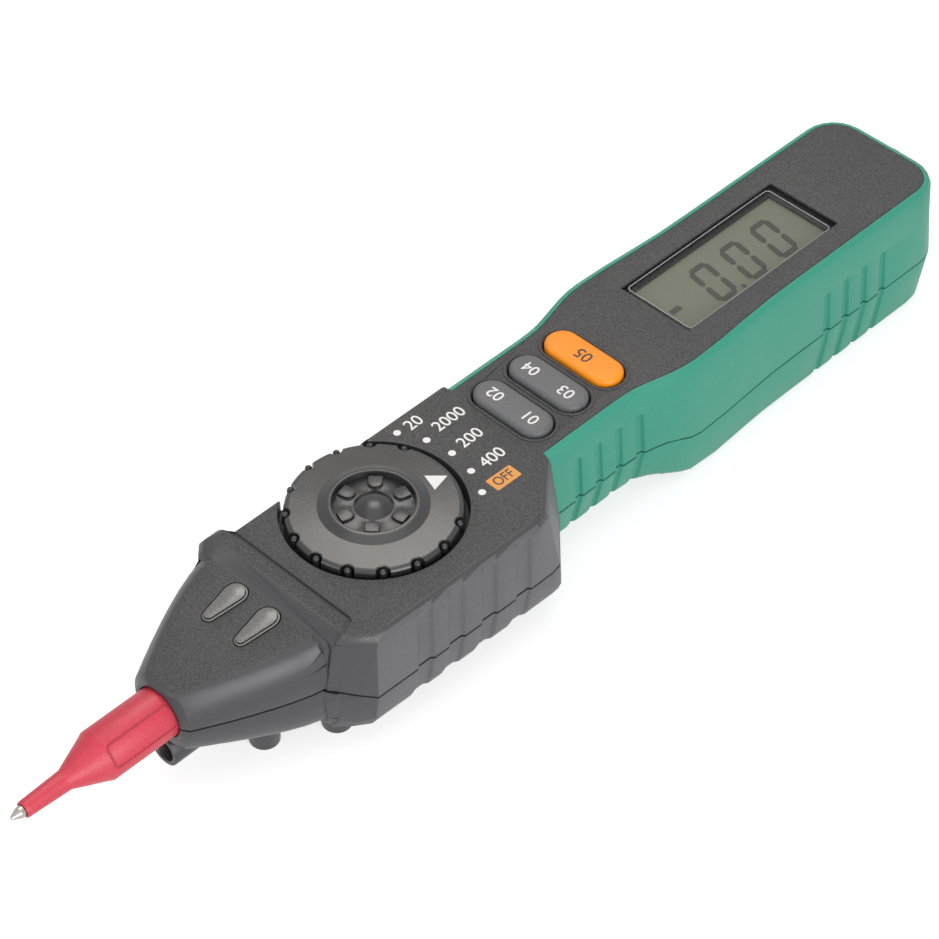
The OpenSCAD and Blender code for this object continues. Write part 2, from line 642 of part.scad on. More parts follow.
module battery_cover() {
    color("seagreen") place() difference() {
        intersection() {
            union() {
                box(-cover_half, cover_half, -tail_reach, -bay_front - fit_gap, -face_h + cover_step, -face_h + cover_t);
                for (m = [0, 1]) mirror([m, 0, 0])
                    box(cover_half - lug_t, cover_half, -bay_rear, -bay_front - fit_gap, -face_h + cover_step, -rail_depth - slide_gap);
                box(-cover_half, cover_half, -tail_reach, -tail_seam + over, -face_h + cover_step, -face_h + tail_wall - slide_gap);
            }
            lower_grip_body();
        }
        for (i = [0:thumb_ribs - 1]) box(-cell_x, cell_x, -cell_rear - i * 2 * thumb_rib_w, -cell_rear + thumb_rib_w - i * 2 * thumb_rib_w,
            -face_h - over, -face_h + cover_step + thumb_rib_d);
    }
    color("seagreen") place() for (m = [0, 1]) mirror([m, 0, 0])
        box(cover_half - lug_t, cover_half + rail_w, -bay_rear, -bay_front - fit_gap - over,
            -rail_depth - rail_h + slide_gap, -rail_depth - slide_gap);
}
module case_screws() {
    color("silver") place() for (p = posts) translate([p[0], p[1], -head_floor]) {
        cylinder(r = screw_r, h = screw_l);
        translate([0, 0, -screw_head_h]) difference() {
            cylinder(r = screw_head_r, h = screw_head_h);
            for (a = [0, 90]) rotate([0, 0, a]) box(-screw_r, screw_r, -screw_r / 4, screw_r / 4, -over, screw_head_h / 2);
        }
    }
}

// Display stack, from the pane down to the board
mask_t = 0.3;
mask_x = 1.1;
mask_near = 1.9;
mask_far = 1.5;
glass_t = 2;
glass_gap = 0.1;
pane_bottom = window_depth + window_t;
mask_bottom = pane_bottom + mask_t;
glass_top = mask_bottom + glass_gap;
glass_bottom = glass_top + glass_t;
holder_wall = 0.7;
glass_x = window_half + pane_ledge / 2;
module lcd_window() {
    color("lightgray", 0.4) place() box(-pane_x, pane_x, pane_y1, pane_y0, -pane_bottom, -window_depth);
}
module lcd_mask() {
    color("black") place() difference() {
        box(-pane_x, pane_x, pane_y1, pane_y0, -mask_bottom, -pane_bottom);
        box(-window_half + mask_x, window_half - mask_x, -window_at - window_l + mask_far, -window_at - mask_near, -face_h, 0);
    }
}
module lcd_glass() {
    color("darkseagreen") place() box(-glass_x, glass_x, pane_y1 + fit_gap, pane_y0 - fit_gap, -glass_bottom, -glass_top);
}
module lcd_holder() {
    x = glass_x + fit_gap;
    color("whitesmoke") place() difference() {
        box(-x - holder_wall, x + holder_wall, pane_y1 - holder_wall, pane_y0 + holder_wall, -board_top, -glass_top - glass_gap);
        box(-x, x, pane_y1, pane_y0, -glass_bottom, over);
        box(-x + 2 * holder_wall, x - 2 * holder_wall, pane_y1 + holder_wall, pane_y0 - holder_wall, -board_top - over, over);
    }
}
zebra_w = 1.2;
module zebra_strips() {
    x = glass_x + fit_gap - 2 * holder_wall;
    color("gray") place() for (m = [0, 1]) mirror([m, 0, 0])
        box(x - zebra_w, x, pane_y1 + 2 * holder_wall, pane_y0 - 2 * holder_wall, -board_top, -glass_bottom);
}

// Board and what it carries
notch_gap = 0.3;
module main_board() {
    x0 = grip_reach - cavity_wall - pane_ledge;
    x1 = thumb_half - case_wall - pane_ledge / 2;
    y0 = -handle_start + 2 * case_wall;
    color("darkgreen") place() difference() {
        translate([0, 0, -board_bottom]) linear_extrude(board_t)
            polygon([[-tongue_half, tongue_front], [-tongue_half, board_front], [-x0 + tongue_half, board_front], [-x0, board_front / 2],
                [-x0, -grip_rear], [-board_waist, y0], [-board_waist, -board_rear], [board_waist, -board_rear],
                [board_waist, y0], [x1, -grip_rear], [x1, board_front], [tongue_half, board_front], [tongue_half, tongue_front]]);
        post_holes(post_r + notch_gap, 0, face_h);
    }
}
led_r = 1.2;
led_l = 1.5;
led_foot = 0.6;
module indicator_leds() {
    color("white") place() for (x = [-lens_x, lens_x]) translate([x, lens_y, -board_top]) {
        cylinder(r = led_r, h = led_l);
        translate([0, 0, led_l]) sphere(r = led_r);
        cylinder(r = led_r + led_foot / 2, h = led_foot);
    }
}
chip_l = 10;
chip_half = 5;
chip_h = 1.4;
chip_near = 72;
chip_far = 88;
module board_chips() {
    color("black") place() for (y = [-chip_near, -chip_far]) box(-chip_half, chip_half, y - chip_l, y, -board_bottom - chip_h, -board_bottom);
}
buzzer_r = 6;
buzzer_h = 3.5;
buzzer_y = -42;
module buzzer() {
    color("black") place() translate([0, buzzer_y, -board_bottom - buzzer_h]) tube(buzzer_r, screw_r, buzzer_h);
}
fuse_r = 2.6;
fuse_l = 20;
fuse_cap_l = 5;
fuse_x = -3;
fuse_y = -20;
fuse_depth = board_bottom + fuse_r + fit_gap;
module fuse() {
    color("silver") place() {
        along_y(fuse_y, fuse_x, -fuse_depth) cylinder(r = fuse_r - fit_gap, h = fuse_l);
        for (y = [fuse_y, fuse_y + fuse_l - fuse_cap_l]) along_y(y, fuse_x, -fuse_depth) cylinder(r = fuse_r, h = fuse_cap_l);
    }
}
clip_t = 0.5;
module fuse_clips() {
    color("gold") place() for (y = [fuse_y + over, fuse_y + fuse_l - fuse_cap_l + over]) difference() {
        box(fuse_x - fuse_r - clip_t, fuse_x + fuse_r + clip_t, y, y + fuse_cap_l - 2 * over, -fuse_depth - fuse_r / 2, -board_bottom);
        along_y(y - over, fuse_x, -fuse_depth) cylinder(r = fuse_r, h = fuse_cap_l);
    }
}
dome_r = 2;
foot_x = 6;
ridge_half = 1;
ridge_gap = 0.15;
rock_drop = 3.4;
rock_r = 0.8;
module button_pad() {
    color("dimgray") place() {
        box(-board_waist, board_waist, button_ys[2] - button_w / 2, button_ys[0] + button_w / 2, -board_top, -board_top + pad_t);
        for (y = [button_ys[0], button_ys[1]]) {
            for (x = [-foot_x, foot_x]) translate([x, y, -board_top]) cylinder(r = dome_r, h = board_top - pad_top);
            box(-ridge_half, ridge_half, y - ridge_half, y + ridge_half, -board_top, -rock_drop - rock_r - ridge_gap);
        }
        translate([0, button_ys[2], -board_top]) cylinder(r = dome_r, h = board_top - pad_top);
    }
}

// Buttons
cap_round = 0.8;
plunger_r = 1.4;
collar = 0.6;
module push_button() {
    z0 = -deck_t - flange_gap;
    color("orange") place() translate([0, button_ys[2], 0]) {
        pill(button_l, button_w, z0 - flange_t / 2, button_rise, cap_round);
        stadium(button_l + 2 * button_gap + collar, button_w + 2 * button_gap + collar, z0 - flange_t, z0);
        translate([0, 0, -pad_top + button_travel + fit_gap / 2]) cylinder(r = plunger_r, h = pad_top - button_travel + z0 - fit_gap / 2);
    }
}
module rocker(y) {
    z0 = -rock_drop + flange_t;
    color("gray") place() translate([0, y, 0]) {
        pill(button_l, button_w, z0 - flange_t / 2, button_rise, cap_round);
        stadium(button_l + 2 * button_gap + collar, button_w + 2 * button_gap + collar, z0 - flange_t, z0);
        for (x = [-foot_x, foot_x]) translate([x, 0, -pad_top + flange_t - move_gap]) cylinder(r = plunger_r, h = flange_t);
        translate([0, ridge_half, -rock_drop]) rotate([90, 0, 0]) cylinder(r = rock_r, h = 2 * ridge_half);
    }
}
module rocker_near() rocker(button_ys[0]);
module rocker_far() rocker(button_ys[1]);

// Dial
dial_under = pocket_d - move_gap;
edge_r = 0.9;
cone_r = 9.1;
cone_top = 0.7;
rim_in = 6.85;
dish = 0.8;
notch_r = 1.25;
notch_out = 0.3;
notch_at = dial_r + notch_out;
notch_floor = 1.6;
rest_angle = -106.8;
first_notch = 42.5;
point_base = 10.1;
point_tip = 13.3;
point_half = 1.8;
inlay = 0.15;
module pointer_shape(h0, h1) {
    rotate([0, 0, rest_angle]) translate([0, 0, h0]) linear_extrude(h1 - h0)
        polygon([[point_base, -point_half], [point_tip, 0], [point_base, point_half]]);
}
module dial_knob() {
    color("dimgray") place() difference() {
        union() {
            rotate_extrude() polygon(concat([[0, -dial_under], [dial_r - edge_r, -dial_under], [dial_r, -dial_under + edge_r]],
                [for (i = [0:arc_steps]) let (a = 90 * i / arc_steps)
                    [dial_r - edge_r + edge_r * cos(a), dial_rise - edge_r + edge_r * sin(a)]],
                [[cone_r, dial_rise], [lerp(cone_r, hub_r, 0.75), dial_rise + cone_top], [hub_r, dial_rise + cone_top + fit_gap],
                    [rim_in, dial_rise + cone_top], [rim_in, dial_rise - dish], [0, dial_rise - dish]]));
            translate([0, 0, -rotor_top]) cylinder(r = shaft_r, h = rotor_top - dial_under + over);
            translate([0, 0, -rotor_top - rotor_t]) cylinder(r = stub_r, h = rotor_t + over);
        }
        for (i = [0:notch_count - 1]) rotate([0, 0, rest_angle + first_notch + i * notch_pitch])
            translate([notch_at, 0, -notch_floor]) cylinder(r = notch_r, h = face_h);
        pointer_shape(dial_rise - inlay, face_h);
    }
}
module dial_pointer() {
    color("white") place() pointer_shape(dial_rise - inlay, dial_rise + inlay / 3);
}
dome_hub_r = 3.2;
dome_hub_h = 1;
hub_t = 0.5;
lug_count = 6;
lug_r = 1.2;
lug_at = 4.9;
lug_h = 0.6;
module dial_hub() {
    z0 = dial_rise - dish;
    ball = (dome_hub_r * dome_hub_r + dome_hub_h * dome_hub_h) / (2 * dome_hub_h);
    color("dimgray") place() translate([0, 0, z0]) {
        cylinder(r = rim_in, h = hub_t);
        translate([0, 0, hub_t]) intersection() {
            cylinder(r = dome_hub_r, h = dome_hub_h + over);
            translate([0, 0, dome_hub_h - ball]) sphere(r = ball);
        }
        for (i = [0:lug_count - 1]) rotate([0, 0, rest_angle + 360 * i / lug_count]) translate([lug_at, 0, hub_t]) {
            cylinder(r = lug_r, h = lug_h);
            box(0, rim_in - lug_at - lug_r / 2, -lug_r, lug_r, 0, lug_h);
        }
    }
}
bore_gap = 0.05;
bore_l = 3.6;
wiper_t = 0.4;
wiper_in = 5;
wiper_out = 6.4;
wiper_angle = 60;
module ball_axes() {
    for (a = [0, 180]) rotate([0, 0, a]) translate([0, 0, -rotor_top - rotor_t / 2]) rotate([0, 90, 0]) children();
}
module dial_rotor() {
    color("ivory") place() difference() {
        translate([0, 0, -rotor_top - rotor_t]) tube(rotor_r, stub_r, rotor_t);
        ball_axes() translate([0, 0, rotor_r - bore_l]) cylinder(r = ball_r + bore_gap, h = rotor_r);
    }
}
module detent_balls() {
    color("silver") place() ball_axes() translate([0, 0, ball_at]) sphere(r = ball_r);
}
module detent_springs() {
    color("silver") place() ball_axes() translate([0, 0, rotor_r - bore_l]) tube(ball_r - bore_gap, ball_r / 2, ball_at - 0.9 * ball_r - rotor_r + bore_l);
}
module detent_ring() {
    color("ivory") place() difference() {
        translate([0, 0, -rotor_top - rotor_t]) tube(ring_out, ring_in, rotor_t + rotor_gap);
        for (a = [0, 180]) for (i = [-1:3]) rotate([0, 0, a - i * dial_step])
            translate([ring_in + fit_gap, 0, -face_h]) cylinder(r = ball_r, h = face_h);
        box(thumb_half - case_wall, face_h, -face_h, face_h, -face_h, 0);
    }
}
module wiper_contacts() {
    z1 = -rotor_top - rotor_t;
    z0 = -board_top + fit_gap / 2;
    color("gold") place() for (i = [0:2]) rotate([0, 0, i * 120]) {
        translate([0, 0, z1 - wiper_t]) rotate_extrude(angle = wiper_angle) translate([wiper_in, 0]) square([wiper_out - wiper_in, wiper_t]);
        rotate([0, 0, wiper_angle / 2]) translate([(wiper_in + wiper_out) / 2, 0, z0])
            cylinder(r = wiper_t, h = z1 - z0 - wiper_t / 2);
    }
}

// Front end
module lens_piece(x) {
    color("gray") place() lens_at(x) {
        translate([0, 0, -roof]) linear_extrude(roof) polygon(drop(lens_r, lens_tip_r, lens_l));
        linear_extrude(lens_r / 6) polygon(drop(lens_r - lens_r / 6, lens_tip_r - lens_r / 6, lens_l));
    }
}
module lens_left() lens_piece(lens_x);
module lens_right() lens_piece(-lens_x);
tip_cone = 1.6;
tip_flat = 0.3;
pin_rear = 28;
module probe_pin() {
    color("silver") place() {
        along_y(pin_rear) cylinder(r = pin_r, h = probe_reach - tip_cone - pin_rear);
        along_y(probe_reach - tip_cone) cylinder(r1 = pin_r, r2 = tip_flat, h = tip_cone);
    }
}
module probe_bush() {
    color("gold") place() along_y(bush_rear) tube(bush_r, pin_r, sleeve_rear - over - bush_rear);
}
cone_gap = 0.06;
tube_base_r = 1.8;
sleeve_wall = 1.3;
sleeve_front = nose_reach + sleeve_l;
sleeve_end = probe_reach - bare_tip;
sleeve_round = 0.6;
module probe_sleeve() {
    y1 = sleeve_front - sleeve_rear;
    y2 = y1 + cone_l;
    y3 = sleeve_end - sleeve_rear;
    color("crimson") place() along_y(sleeve_rear) difference() {
        rotate_extrude() polygon([[0, 0], [sleeve_r, 0], [sleeve_r, y1 - sleeve_round], [sleeve_r - sleeve_round / 2, y1],
            [lerp(sleeve_r, tube_base_r, 0.7), y2 - cone_l / 3], [tube_base_r, y2], [tube_r, y3], [0, y3]]);
        translate([0, 0, -over]) cylinder(r = sleeve_r - sleeve_wall, h = y1 - sleeve_wall + over);
        translate([0, 0, -over]) cylinder(r = pin_r + cone_gap, h = y3 + 2 * over);
    }
}
antenna_x = 7;
antenna_w = 2;
antenna_t = 0.4;
antenna_l = 6;
module ncv_antenna() {
    z = -panel_depth - roof - over;
    color("peru") place() box(-antenna_x - antenna_w, -antenna_x, front_post_y + post_r + over, nose_at + antenna_l, z - antenna_t, z);
}
torch_led_l = 5;
module torch_led() {
    color("white") place() {
        along_y(torch_rear, 0, -torch_at) cylinder(r = torch_in, h = over);
        along_y(torch_rear, 0, -torch_at) cylinder(r = torch_in * 0.75, h = torch_led_l);
        along_y(torch_rear + torch_led_l, 0, -torch_at) sphere(r = torch_in * 0.75);
    }
}

// Tail and power
lug_half = 1.2;
lug_lap = 1.5;
module com_jack() {
    y = -tail_reach + jack_recess;
    color("goldenrod") place() {
        along_y(y, 0, -jack_depth) tube(jack_r + jack_wall, jack_r, jack_l);
        difference() {
            box(-lug_half, lug_half, y + jack_l - lug_lap, -board_rear + lug_lap, -board_top, -jack_depth + jack_r + jack_wall / 2);
            along_y(y - over, 0, -jack_depth) cylinder(r = jack_r, h = jack_l + 2 * over);
        }
    }
}
module jack_shroud() {
    r = jack_r + jack_wall;
    y0 = -tail_reach;
    y1 = -tail_seam + core_wall;
    color("black") place() difference() {
        union() {
            along_y(y0, 0, -jack_depth) cylinder(r = shroud_r, h = shroud_out + shroud_in);
            along_y(y1, 0, -jack_depth) cylinder(r = shroud_flange_r, h = over);
        }
        along_y(y0 - over, 0, -jack_depth) cylinder(r = r, h = shroud_out + shroud_in + 2 * over);
        along_y(y0 - over, 0, -jack_depth) cylinder(r = shroud_r - over, h = jack_recess + over);
    }
}
nub_r = 1.9;
nub_l = 0.8;
module batteries() {
    color("steelblue") place() for (m = [0, 1]) translate([cell_x * (2 * m - 1), m == 0 ? -cell_rear : -cell_rear + cell_l, -cell_depth])
        rotate([m == 0 ? -90 : 90, 0, 0]) {
            cylinder(r = cell_r, h = cell_l - nub_l);
            translate([0, 0, cell_l - nub_l]) cylinder(r = nub_r, h = nub_l);
        }
}
module battery_plates() {
    z0 = -cell_depth - cell_r / 2;
    z1 = -cell_depth + cell_r / 2;
    color("silver") place() {
        box(-cell_x - cell_r / 2, cell_x + cell_r / 2, -cell_rear - plate_t, -cell_rear, z0, z1);
        for (m = [0, 1]) mirror([m, 0, 0]) box(cell_x - cell_r / 2, cell_x + cell_r / 2, -bay_front - plate_t, -bay_front, z0, z1);
    }
}
spring_wall = 0.5;
module battery_springs() {
    y0 = -cell_rear + cell_l;
    h = -bay_front - plate_t - y0;
    color("silver") place() for (x = [-cell_x, cell_x]) along_y(y0, x, -cell_depth) tube(cell_r / 2, cell_r / 2 - spring_wall, h);
}

upper_case();
upper_grip();
lower_case();
lower_grip();
battery_cover();
case_screws();
dial_knob();
dial_hub();
dial_pointer();
dial_rotor();
wiper_contacts();
detent_ring();
detent_balls();
detent_springs();
push_button();
rocker_near();
rocker_far();
button_pad();
main_board();
board_chips();
buzzer();
fuse();
fuse_clips();
indicator_leds();
zebra_strips();
lcd_holder();
lcd_glass();
lcd_mask();
lcd_window();
lens_left();
lens_right();
probe_pin();
probe_bush();
probe_sleeve();
ncv_antenna();
torch_led();
com_jack();
jack_shroud();
batteries();
battery_springs();
battery_plates();
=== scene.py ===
# %% [markdown]
# # A pen multimeter
#
# This lesson dresses a pen-shaped multimeter: a dark moulded head with a rotary dial and a probe,
# and a green grip with three keys and a display. Everything here is in metres, in that model's
# own frame: +Y runs to the probe tip, +Z out of the face, and the meter lies on z = 0.

# %% Load the frame
import math

import bpy
from mathutils import Matrix, Vector


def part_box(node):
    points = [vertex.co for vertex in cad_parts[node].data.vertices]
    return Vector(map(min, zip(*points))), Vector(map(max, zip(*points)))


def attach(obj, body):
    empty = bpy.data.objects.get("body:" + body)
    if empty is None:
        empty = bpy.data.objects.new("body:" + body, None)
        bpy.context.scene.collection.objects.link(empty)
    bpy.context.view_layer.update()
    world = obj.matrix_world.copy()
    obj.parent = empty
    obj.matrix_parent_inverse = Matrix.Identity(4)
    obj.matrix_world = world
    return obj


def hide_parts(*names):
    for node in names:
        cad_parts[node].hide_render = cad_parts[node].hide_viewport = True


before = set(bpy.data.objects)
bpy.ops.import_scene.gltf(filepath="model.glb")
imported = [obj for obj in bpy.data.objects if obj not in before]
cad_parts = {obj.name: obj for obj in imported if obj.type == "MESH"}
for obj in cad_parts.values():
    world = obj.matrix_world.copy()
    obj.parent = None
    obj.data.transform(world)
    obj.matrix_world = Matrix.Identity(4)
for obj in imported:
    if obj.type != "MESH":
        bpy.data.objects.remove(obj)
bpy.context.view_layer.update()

# %% [markdown]
# ## Where things are
#
# A maker of such a meter would measure everything from the dial's axis and from the face plate,
# so the places below are in millimetres from there: x to the reader's right, y towards the tip,
# z out of the face. One small function turns such a place into the frame's metres.

# %% Measure from the dial's axis
MM = 0.001
AXIS_Y = 27.3  # the dial's axis, in mm from the middle of the meter
KNOB_RISE = 1.8  # how far the dial's highest point stands above the face, in mm
KNOB_LOW, KNOB_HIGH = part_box("dial_knob")
FACE_Z = KNOB_HIGH.z / MM - KNOB_RISE
DIAL = Vector(((KNOB_LOW.x + KNOB_HIGH.x) / 2 / MM, AXIS_Y, FACE_Z))


def at(x, y, z):
    """A place measured in mm from the dial's axis on the face, in the frame's metres."""
    return (Vector((x, y, z)) + DIAL) * MM


def only(*pieces):
    """Selects these pieces and nothing else, as a click would."""
    if bpy.context.mode != "OBJECT":
        bpy.ops.object.mode_set(mode="OBJECT")
    bpy.ops.object.select_all(action="DESELECT")
    for piece in pieces:
        piece.select_set(True)
    bpy.context.view_layer.objects.active = pieces[0]


print("dial axis, mm:", tuple(round(v, 2) for v in DIAL))

# %% [markdown]
# ## The camera
#
# The photograph looks down on the meter at about 45 degrees, from beyond the tip, through a long
# lens. A long lens keeps the perspective gentle, as in catalogue pictures. The angle, the lens and
# the slight roll were worked out from the straight edges of the face, the keys and the window.

# %% Set the camera
AZIMUTH, ELEVATION, ROLL = 225.35, 44.92, -0.796  # degrees
AIM_X, AIM_Y = -4.697, -17.002  # mm from the dial's axis
DISTANCE = 0.5367  # metres
SENSOR_MM, FOCAL_MM = 36, 126.97
turn, height, roll = math.radians(AZIMUTH), math.radians(ELEVATION), math.radians(ROLL)
back = Vector((math.sin(turn) * math.cos(height), -math.cos(turn) * math.cos(height), math.sin(height)))
across = (-back).cross(Vector((0, 0, 1))).normalized()
upward = across.cross(-back)
side = across * math.cos(roll) + upward * math.sin(roll)
top = upward * math.cos(roll) - across * math.sin(roll)
eye = at(AIM_X, AIM_Y, 0) + back * DISTANCE
bpy.ops.object.camera_add()
camera = bpy.context.object
camera.name = "catalogue_camera"
camera.data.sensor_width = SENSOR_MM
camera.data.lens = FOCAL_MM
camera.data.clip_start = 0.01
camera.matrix_world = Matrix((
    (side.x, top.x, back.x, eye.x),
    (side.y, top.y, back.y, eye.y),
    (side.z, top.z, back.z, eye.z),
    (0, 0, 0, 1),
))
bpy.context.scene.camera = camera
print("camera stands", round((eye - at(0, 0, 0)).length, 3), "m from the dial")

# %% [markdown]
# ## Light
#
# Catalogue pictures of dark plastic are taken in a light tent: a broad soft light overhead, a
# broad one from the near side, and white all round, so that the case shows its form in soft
# gradients. A small warm one stands behind the meter, and the satin dial mirrors it as a sheen.
# The world is plain white to the camera and in reflections, and dimmer where it lights the object.

# %% Two helpers for shader nodes
def add(tree, kind, settings=None, links=None):
    """Adds a node, sets its fields or inputs, and joins other nodes' outputs to it."""
    node = tree.nodes.new(kind)
    for key, value in (settings or {}).items():
        if isinstance(key, str) and key[0].islower():
            setattr(node, key, value)
        else:
            node.inputs[key].default_value = value
    for key, socket in (links or {}).items():
        tree.links.new(socket, node.inputs[key])
    return node


def seen_directly(tree):
    """1 for rays from the camera, through clear plastic or from a reflection, 0 for all others."""
    ray = add(tree, "ShaderNodeLightPath").outputs
    seen = ray["Is Camera Ray"]
    for kind in ("Is Transmission Ray", "Is Glossy Ray"):
        seen = add(tree, "ShaderNodeMath", {"operation": "MAXIMUM"}, {0: seen, 1: ray[kind]}).outputs[0]
    return seen


# %% World and lamps
TENT_SEEN, TENT_FILL = 1.0, 0.36  # the tent's strength as it is seen, and as it lights the object
world = bpy.data.worlds.new("light_tent")
world.use_nodes = True
bpy.context.scene.world = world
sky = world.node_tree
sky.nodes.clear()
seen = seen_directly(sky)
white = add(sky, "ShaderNodeBackground", {"Color": (1, 1, 1, 1), "Strength": TENT_SEEN})
fill = add(sky, "ShaderNodeBackground", {"Color": (1, 1, 1, 1), "Strength": TENT_FILL})
tent = add(sky, "ShaderNodeMixShader", None, {0: seen, 1: fill.outputs[0], 2: white.outputs[0]})
add(sky, "ShaderNodeOutputWorld", None, {"Surface": tent.outputs[0]})


def lamp(name, place, aim, size, power):
    """A square soft box that faces a point."""
    bpy.ops.object.light_add(type="AREA", location=place)
    light = bpy.context.object
    light.name = name
    light.data.size = size
    light.data.energy = power
    light.rotation_euler = (Vector(aim) - Vector(place)).to_track_quat("-Z", "Y").to_euler()
    return light


# Each soft box: its place in metres from the point it lights, its size in metres, its power in watts.
SOFT_BOXES = (
    ("overhead_box", (-0.04, 0.06, 0.78), 0.7, 1.3),
    ("near_side_box", (-0.75, 0.25, 0.3), 0.6, 5.6),
    ("tip_box", (0.1, 0.9, 0.35), 0.5, 1.6),
    ("back_box", (0.34, -0.32, 0.78), 0.4, 2.6),
)
WARM_WHITE = (1.0, 0.93, 0.86)
middle = at(0, -20, 0)
for name, offset, size, power in SOFT_BOXES:
    light = lamp(name, middle + Vector(offset), middle, size, power)
light.data.color = WARM_WHITE  # only the last one, the box behind the meter
scene = bpy.context.scene
scene.view_settings.view_transform = "Standard"

# %% [markdown]
# ## The table
#
# The meter lies on white paper. The paper is a diffuse sheet that catches the meter's shadow. To
# the camera and in reflections it is lifted to white, so that the picture keeps the clean ground of
# the photograph. It lies a hair below z = 0, so that the meter's flat underside doesn't flicker.

# %% Lay the paper
PAPER_SIDE, PAPER_DROP = 6, 0.00005  # metres
PAPER_GREY, PAPER_LIFT = 0.62, 0.62
bpy.ops.object.select_all(action="DESELECT")
bpy.ops.mesh.primitive_plane_add(size=PAPER_SIDE, location=(0, 0, -PAPER_DROP))
paper = bpy.context.object
paper.name = "white_paper"
sheet = bpy.data.materials.new("white_paper")
sheet.use_nodes = True
tree = sheet.node_tree
tree.nodes.clear()
seen = seen_directly(tree)
matt = add(tree, "ShaderNodeBsdfDiffuse", {"Color": (PAPER_GREY, PAPER_GREY, PAPER_GREY, 1)})
glow = add(tree, "ShaderNodeEmission", {"Color": (1, 1, 1, 1), "Strength": PAPER_LIFT})
lift = add(tree, "ShaderNodeAddShader", None, {0: matt.outputs[0], 1: glow.outputs[0]})
both = add(tree, "ShaderNodeMixShader", None, {0: seen, 1: matt.outputs[0], 2: lift.outputs[0]})
add(tree, "ShaderNodeOutputMaterial", None, {"Surface": both.outputs[0]})
paper.data.materials.append(sheet)
print("paper laid")

# %% [markdown]
# ## Plastics
#
# Nearly all of this meter is injection-moulded plastic, and what tells one part from another is the
# surface of its mould. Spark erosion leaves a fine even grit on the flat faces, where it hides
# finger marks. The slopes of the nose come from a mould that was blasted more finely, so they are
# smoother and darker. Two noise patterns on Object coordinates give such a surface: one for the
# grit, as small steps of colour and height, and a broad one for slight unevenness in gloss.

# %% Colour and moulded plastic
def srgb(text):
    """Blender's linear colour from an sRGB hex value."""
    steps = [int(text[i : i + 2], 16) / 255 for i in (1, 3, 5)]
    return tuple(s / 12.92 if s <= 0.04045 else ((s + 0.055) / 1.055) ** 2.4 for s in steps) + (1,)


def blank_material(name):
    """A new material, its node tree and shader, and the place on the object as a socket."""
    material = bpy.data.materials.new(name)
    material.use_nodes = True
    tree = material.node_tree
    where = add(tree, "ShaderNodeTexCoord").outputs["Object"]
    return material, tree, tree.nodes["Principled BSDF"], where


def noise(tree, where, size_mm, settings):
    """A noise pattern whose spots have about a given size, as a socket."""
    fields = {"Scale": 1 / (size_mm * MM), **settings}
    return add(tree, "ShaderNodeTexNoise", fields, {"Vector": where}).outputs["Fac"]


def uneven_gloss(tree, shader, pattern, lowest, highest):
    """Lets the roughness follow a pattern between two values."""
    gloss = add(tree, "ShaderNodeMapRange", {"To Min": lowest, "To Max": highest}, {"Value": pattern})
    tree.links.new(gloss.outputs["Result"], shader.inputs["Roughness"])


RAMP_LOW, RAMP_HIGH = 0.34, 0.66  # where the grit's two tones reach their full colour
UNEVEN_MM, UNEVEN = 9, 0.05  # size of the gloss's patches, and how far the roughness strays


def moulded(name, dark, light, roughness, grit_mm, depth_mm, specular=0.5):
    """Moulded plastic: grit of a real size in two tones, with slightly uneven gloss."""
    material, tree, shader, where = blank_material(name)
    grit = noise(tree, where, grit_mm, {"Detail": 2.0, "Roughness": 0.65})
    tone = add(tree, "ShaderNodeValToRGB", None, {"Fac": grit})
    first, last = tone.color_ramp.elements
    first.position, first.color = RAMP_LOW, srgb(dark)
    last.position, last.color = RAMP_HIGH, srgb(light)
    patch = noise(tree, where, UNEVEN_MM, {"Detail": 1.0})
    uneven_gloss(tree, shader, patch, roughness - UNEVEN, roughness + UNEVEN)
    bump = add(tree, "ShaderNodeBump", {"Strength": 0.5, "Distance": depth_mm * MM}, {"Height": grit})
    tree.links.new(tone.outputs["Color"], shader.inputs["Base Color"])
    tree.links.new(bump.outputs["Normal"], shader.inputs["Normal"])
    shader.inputs["Specular IOR Level"].default_value = specular
    shader.inputs["IOR"].default_value = 1.5
    return material


# ABS from a spark-eroded mould: an even grit of about 0.3 mm, which sparkles grey.
spark_abs = moulded("abs_spark_eroded", "#303031", "#505051", 0.6, 0.3, 0.05, 0.35)
# The same ABS from a finely blasted mould: darker, with soft highlights.
blasted_abs = moulded("abs_fine_blasted", "#333336", "#3D3D3F", 0.4, 0.2, 0.012)
# ABS of the grooved hand side, from a coarser blast, which looks paler.
hand_abs = moulded("abs_hand_side", "#4C4B4F", "#59585C", 0.5, 0.25, 0.02)
# Thermoplastic rubber over a hard core: satin green, soft to the touch.
green_tpr = moulded("tpr_overmould_green", "#278570", "#2D8F79", 0.46, 0.25, 0.015)
# ABS from a polished mould, for the dial and its hub.
dial_abs = moulded("abs_dial_satin", "#242425", "#2E2D2D", 0.27, 0.3, 0.008, 0.6)
hub_abs = moulded("abs_hub_satin", "#222224", "#2C2C2E", 0.28, 0.3, 0.01)
# Silicone rubber keys, matt and even.
orange_rubber = moulded("silicone_orange", "#EE8A06", "#F6950C", 0.5, 0.3, 0.01)
grey_rubber = moulded("silicone_grey", "#545558", "#606164", 0.5, 0.3, 0.015)
# Red ABS of the probe sleeve, from a blasted mould, and a darker red for its raised outline.
red_plastic = moulded("abs_red_blasted", "#BC3043", "#CC3C4E", 0.44, 0.35, 0.03)
red_groove = moulded("abs_red_line", "#A02639", "#AC2C40", 0.5, 0.3, 0.01)
nylon = moulded("nylon_natural", "#D8D4C6", "#E4E0D3", 0.5, 0.4, 0.01)
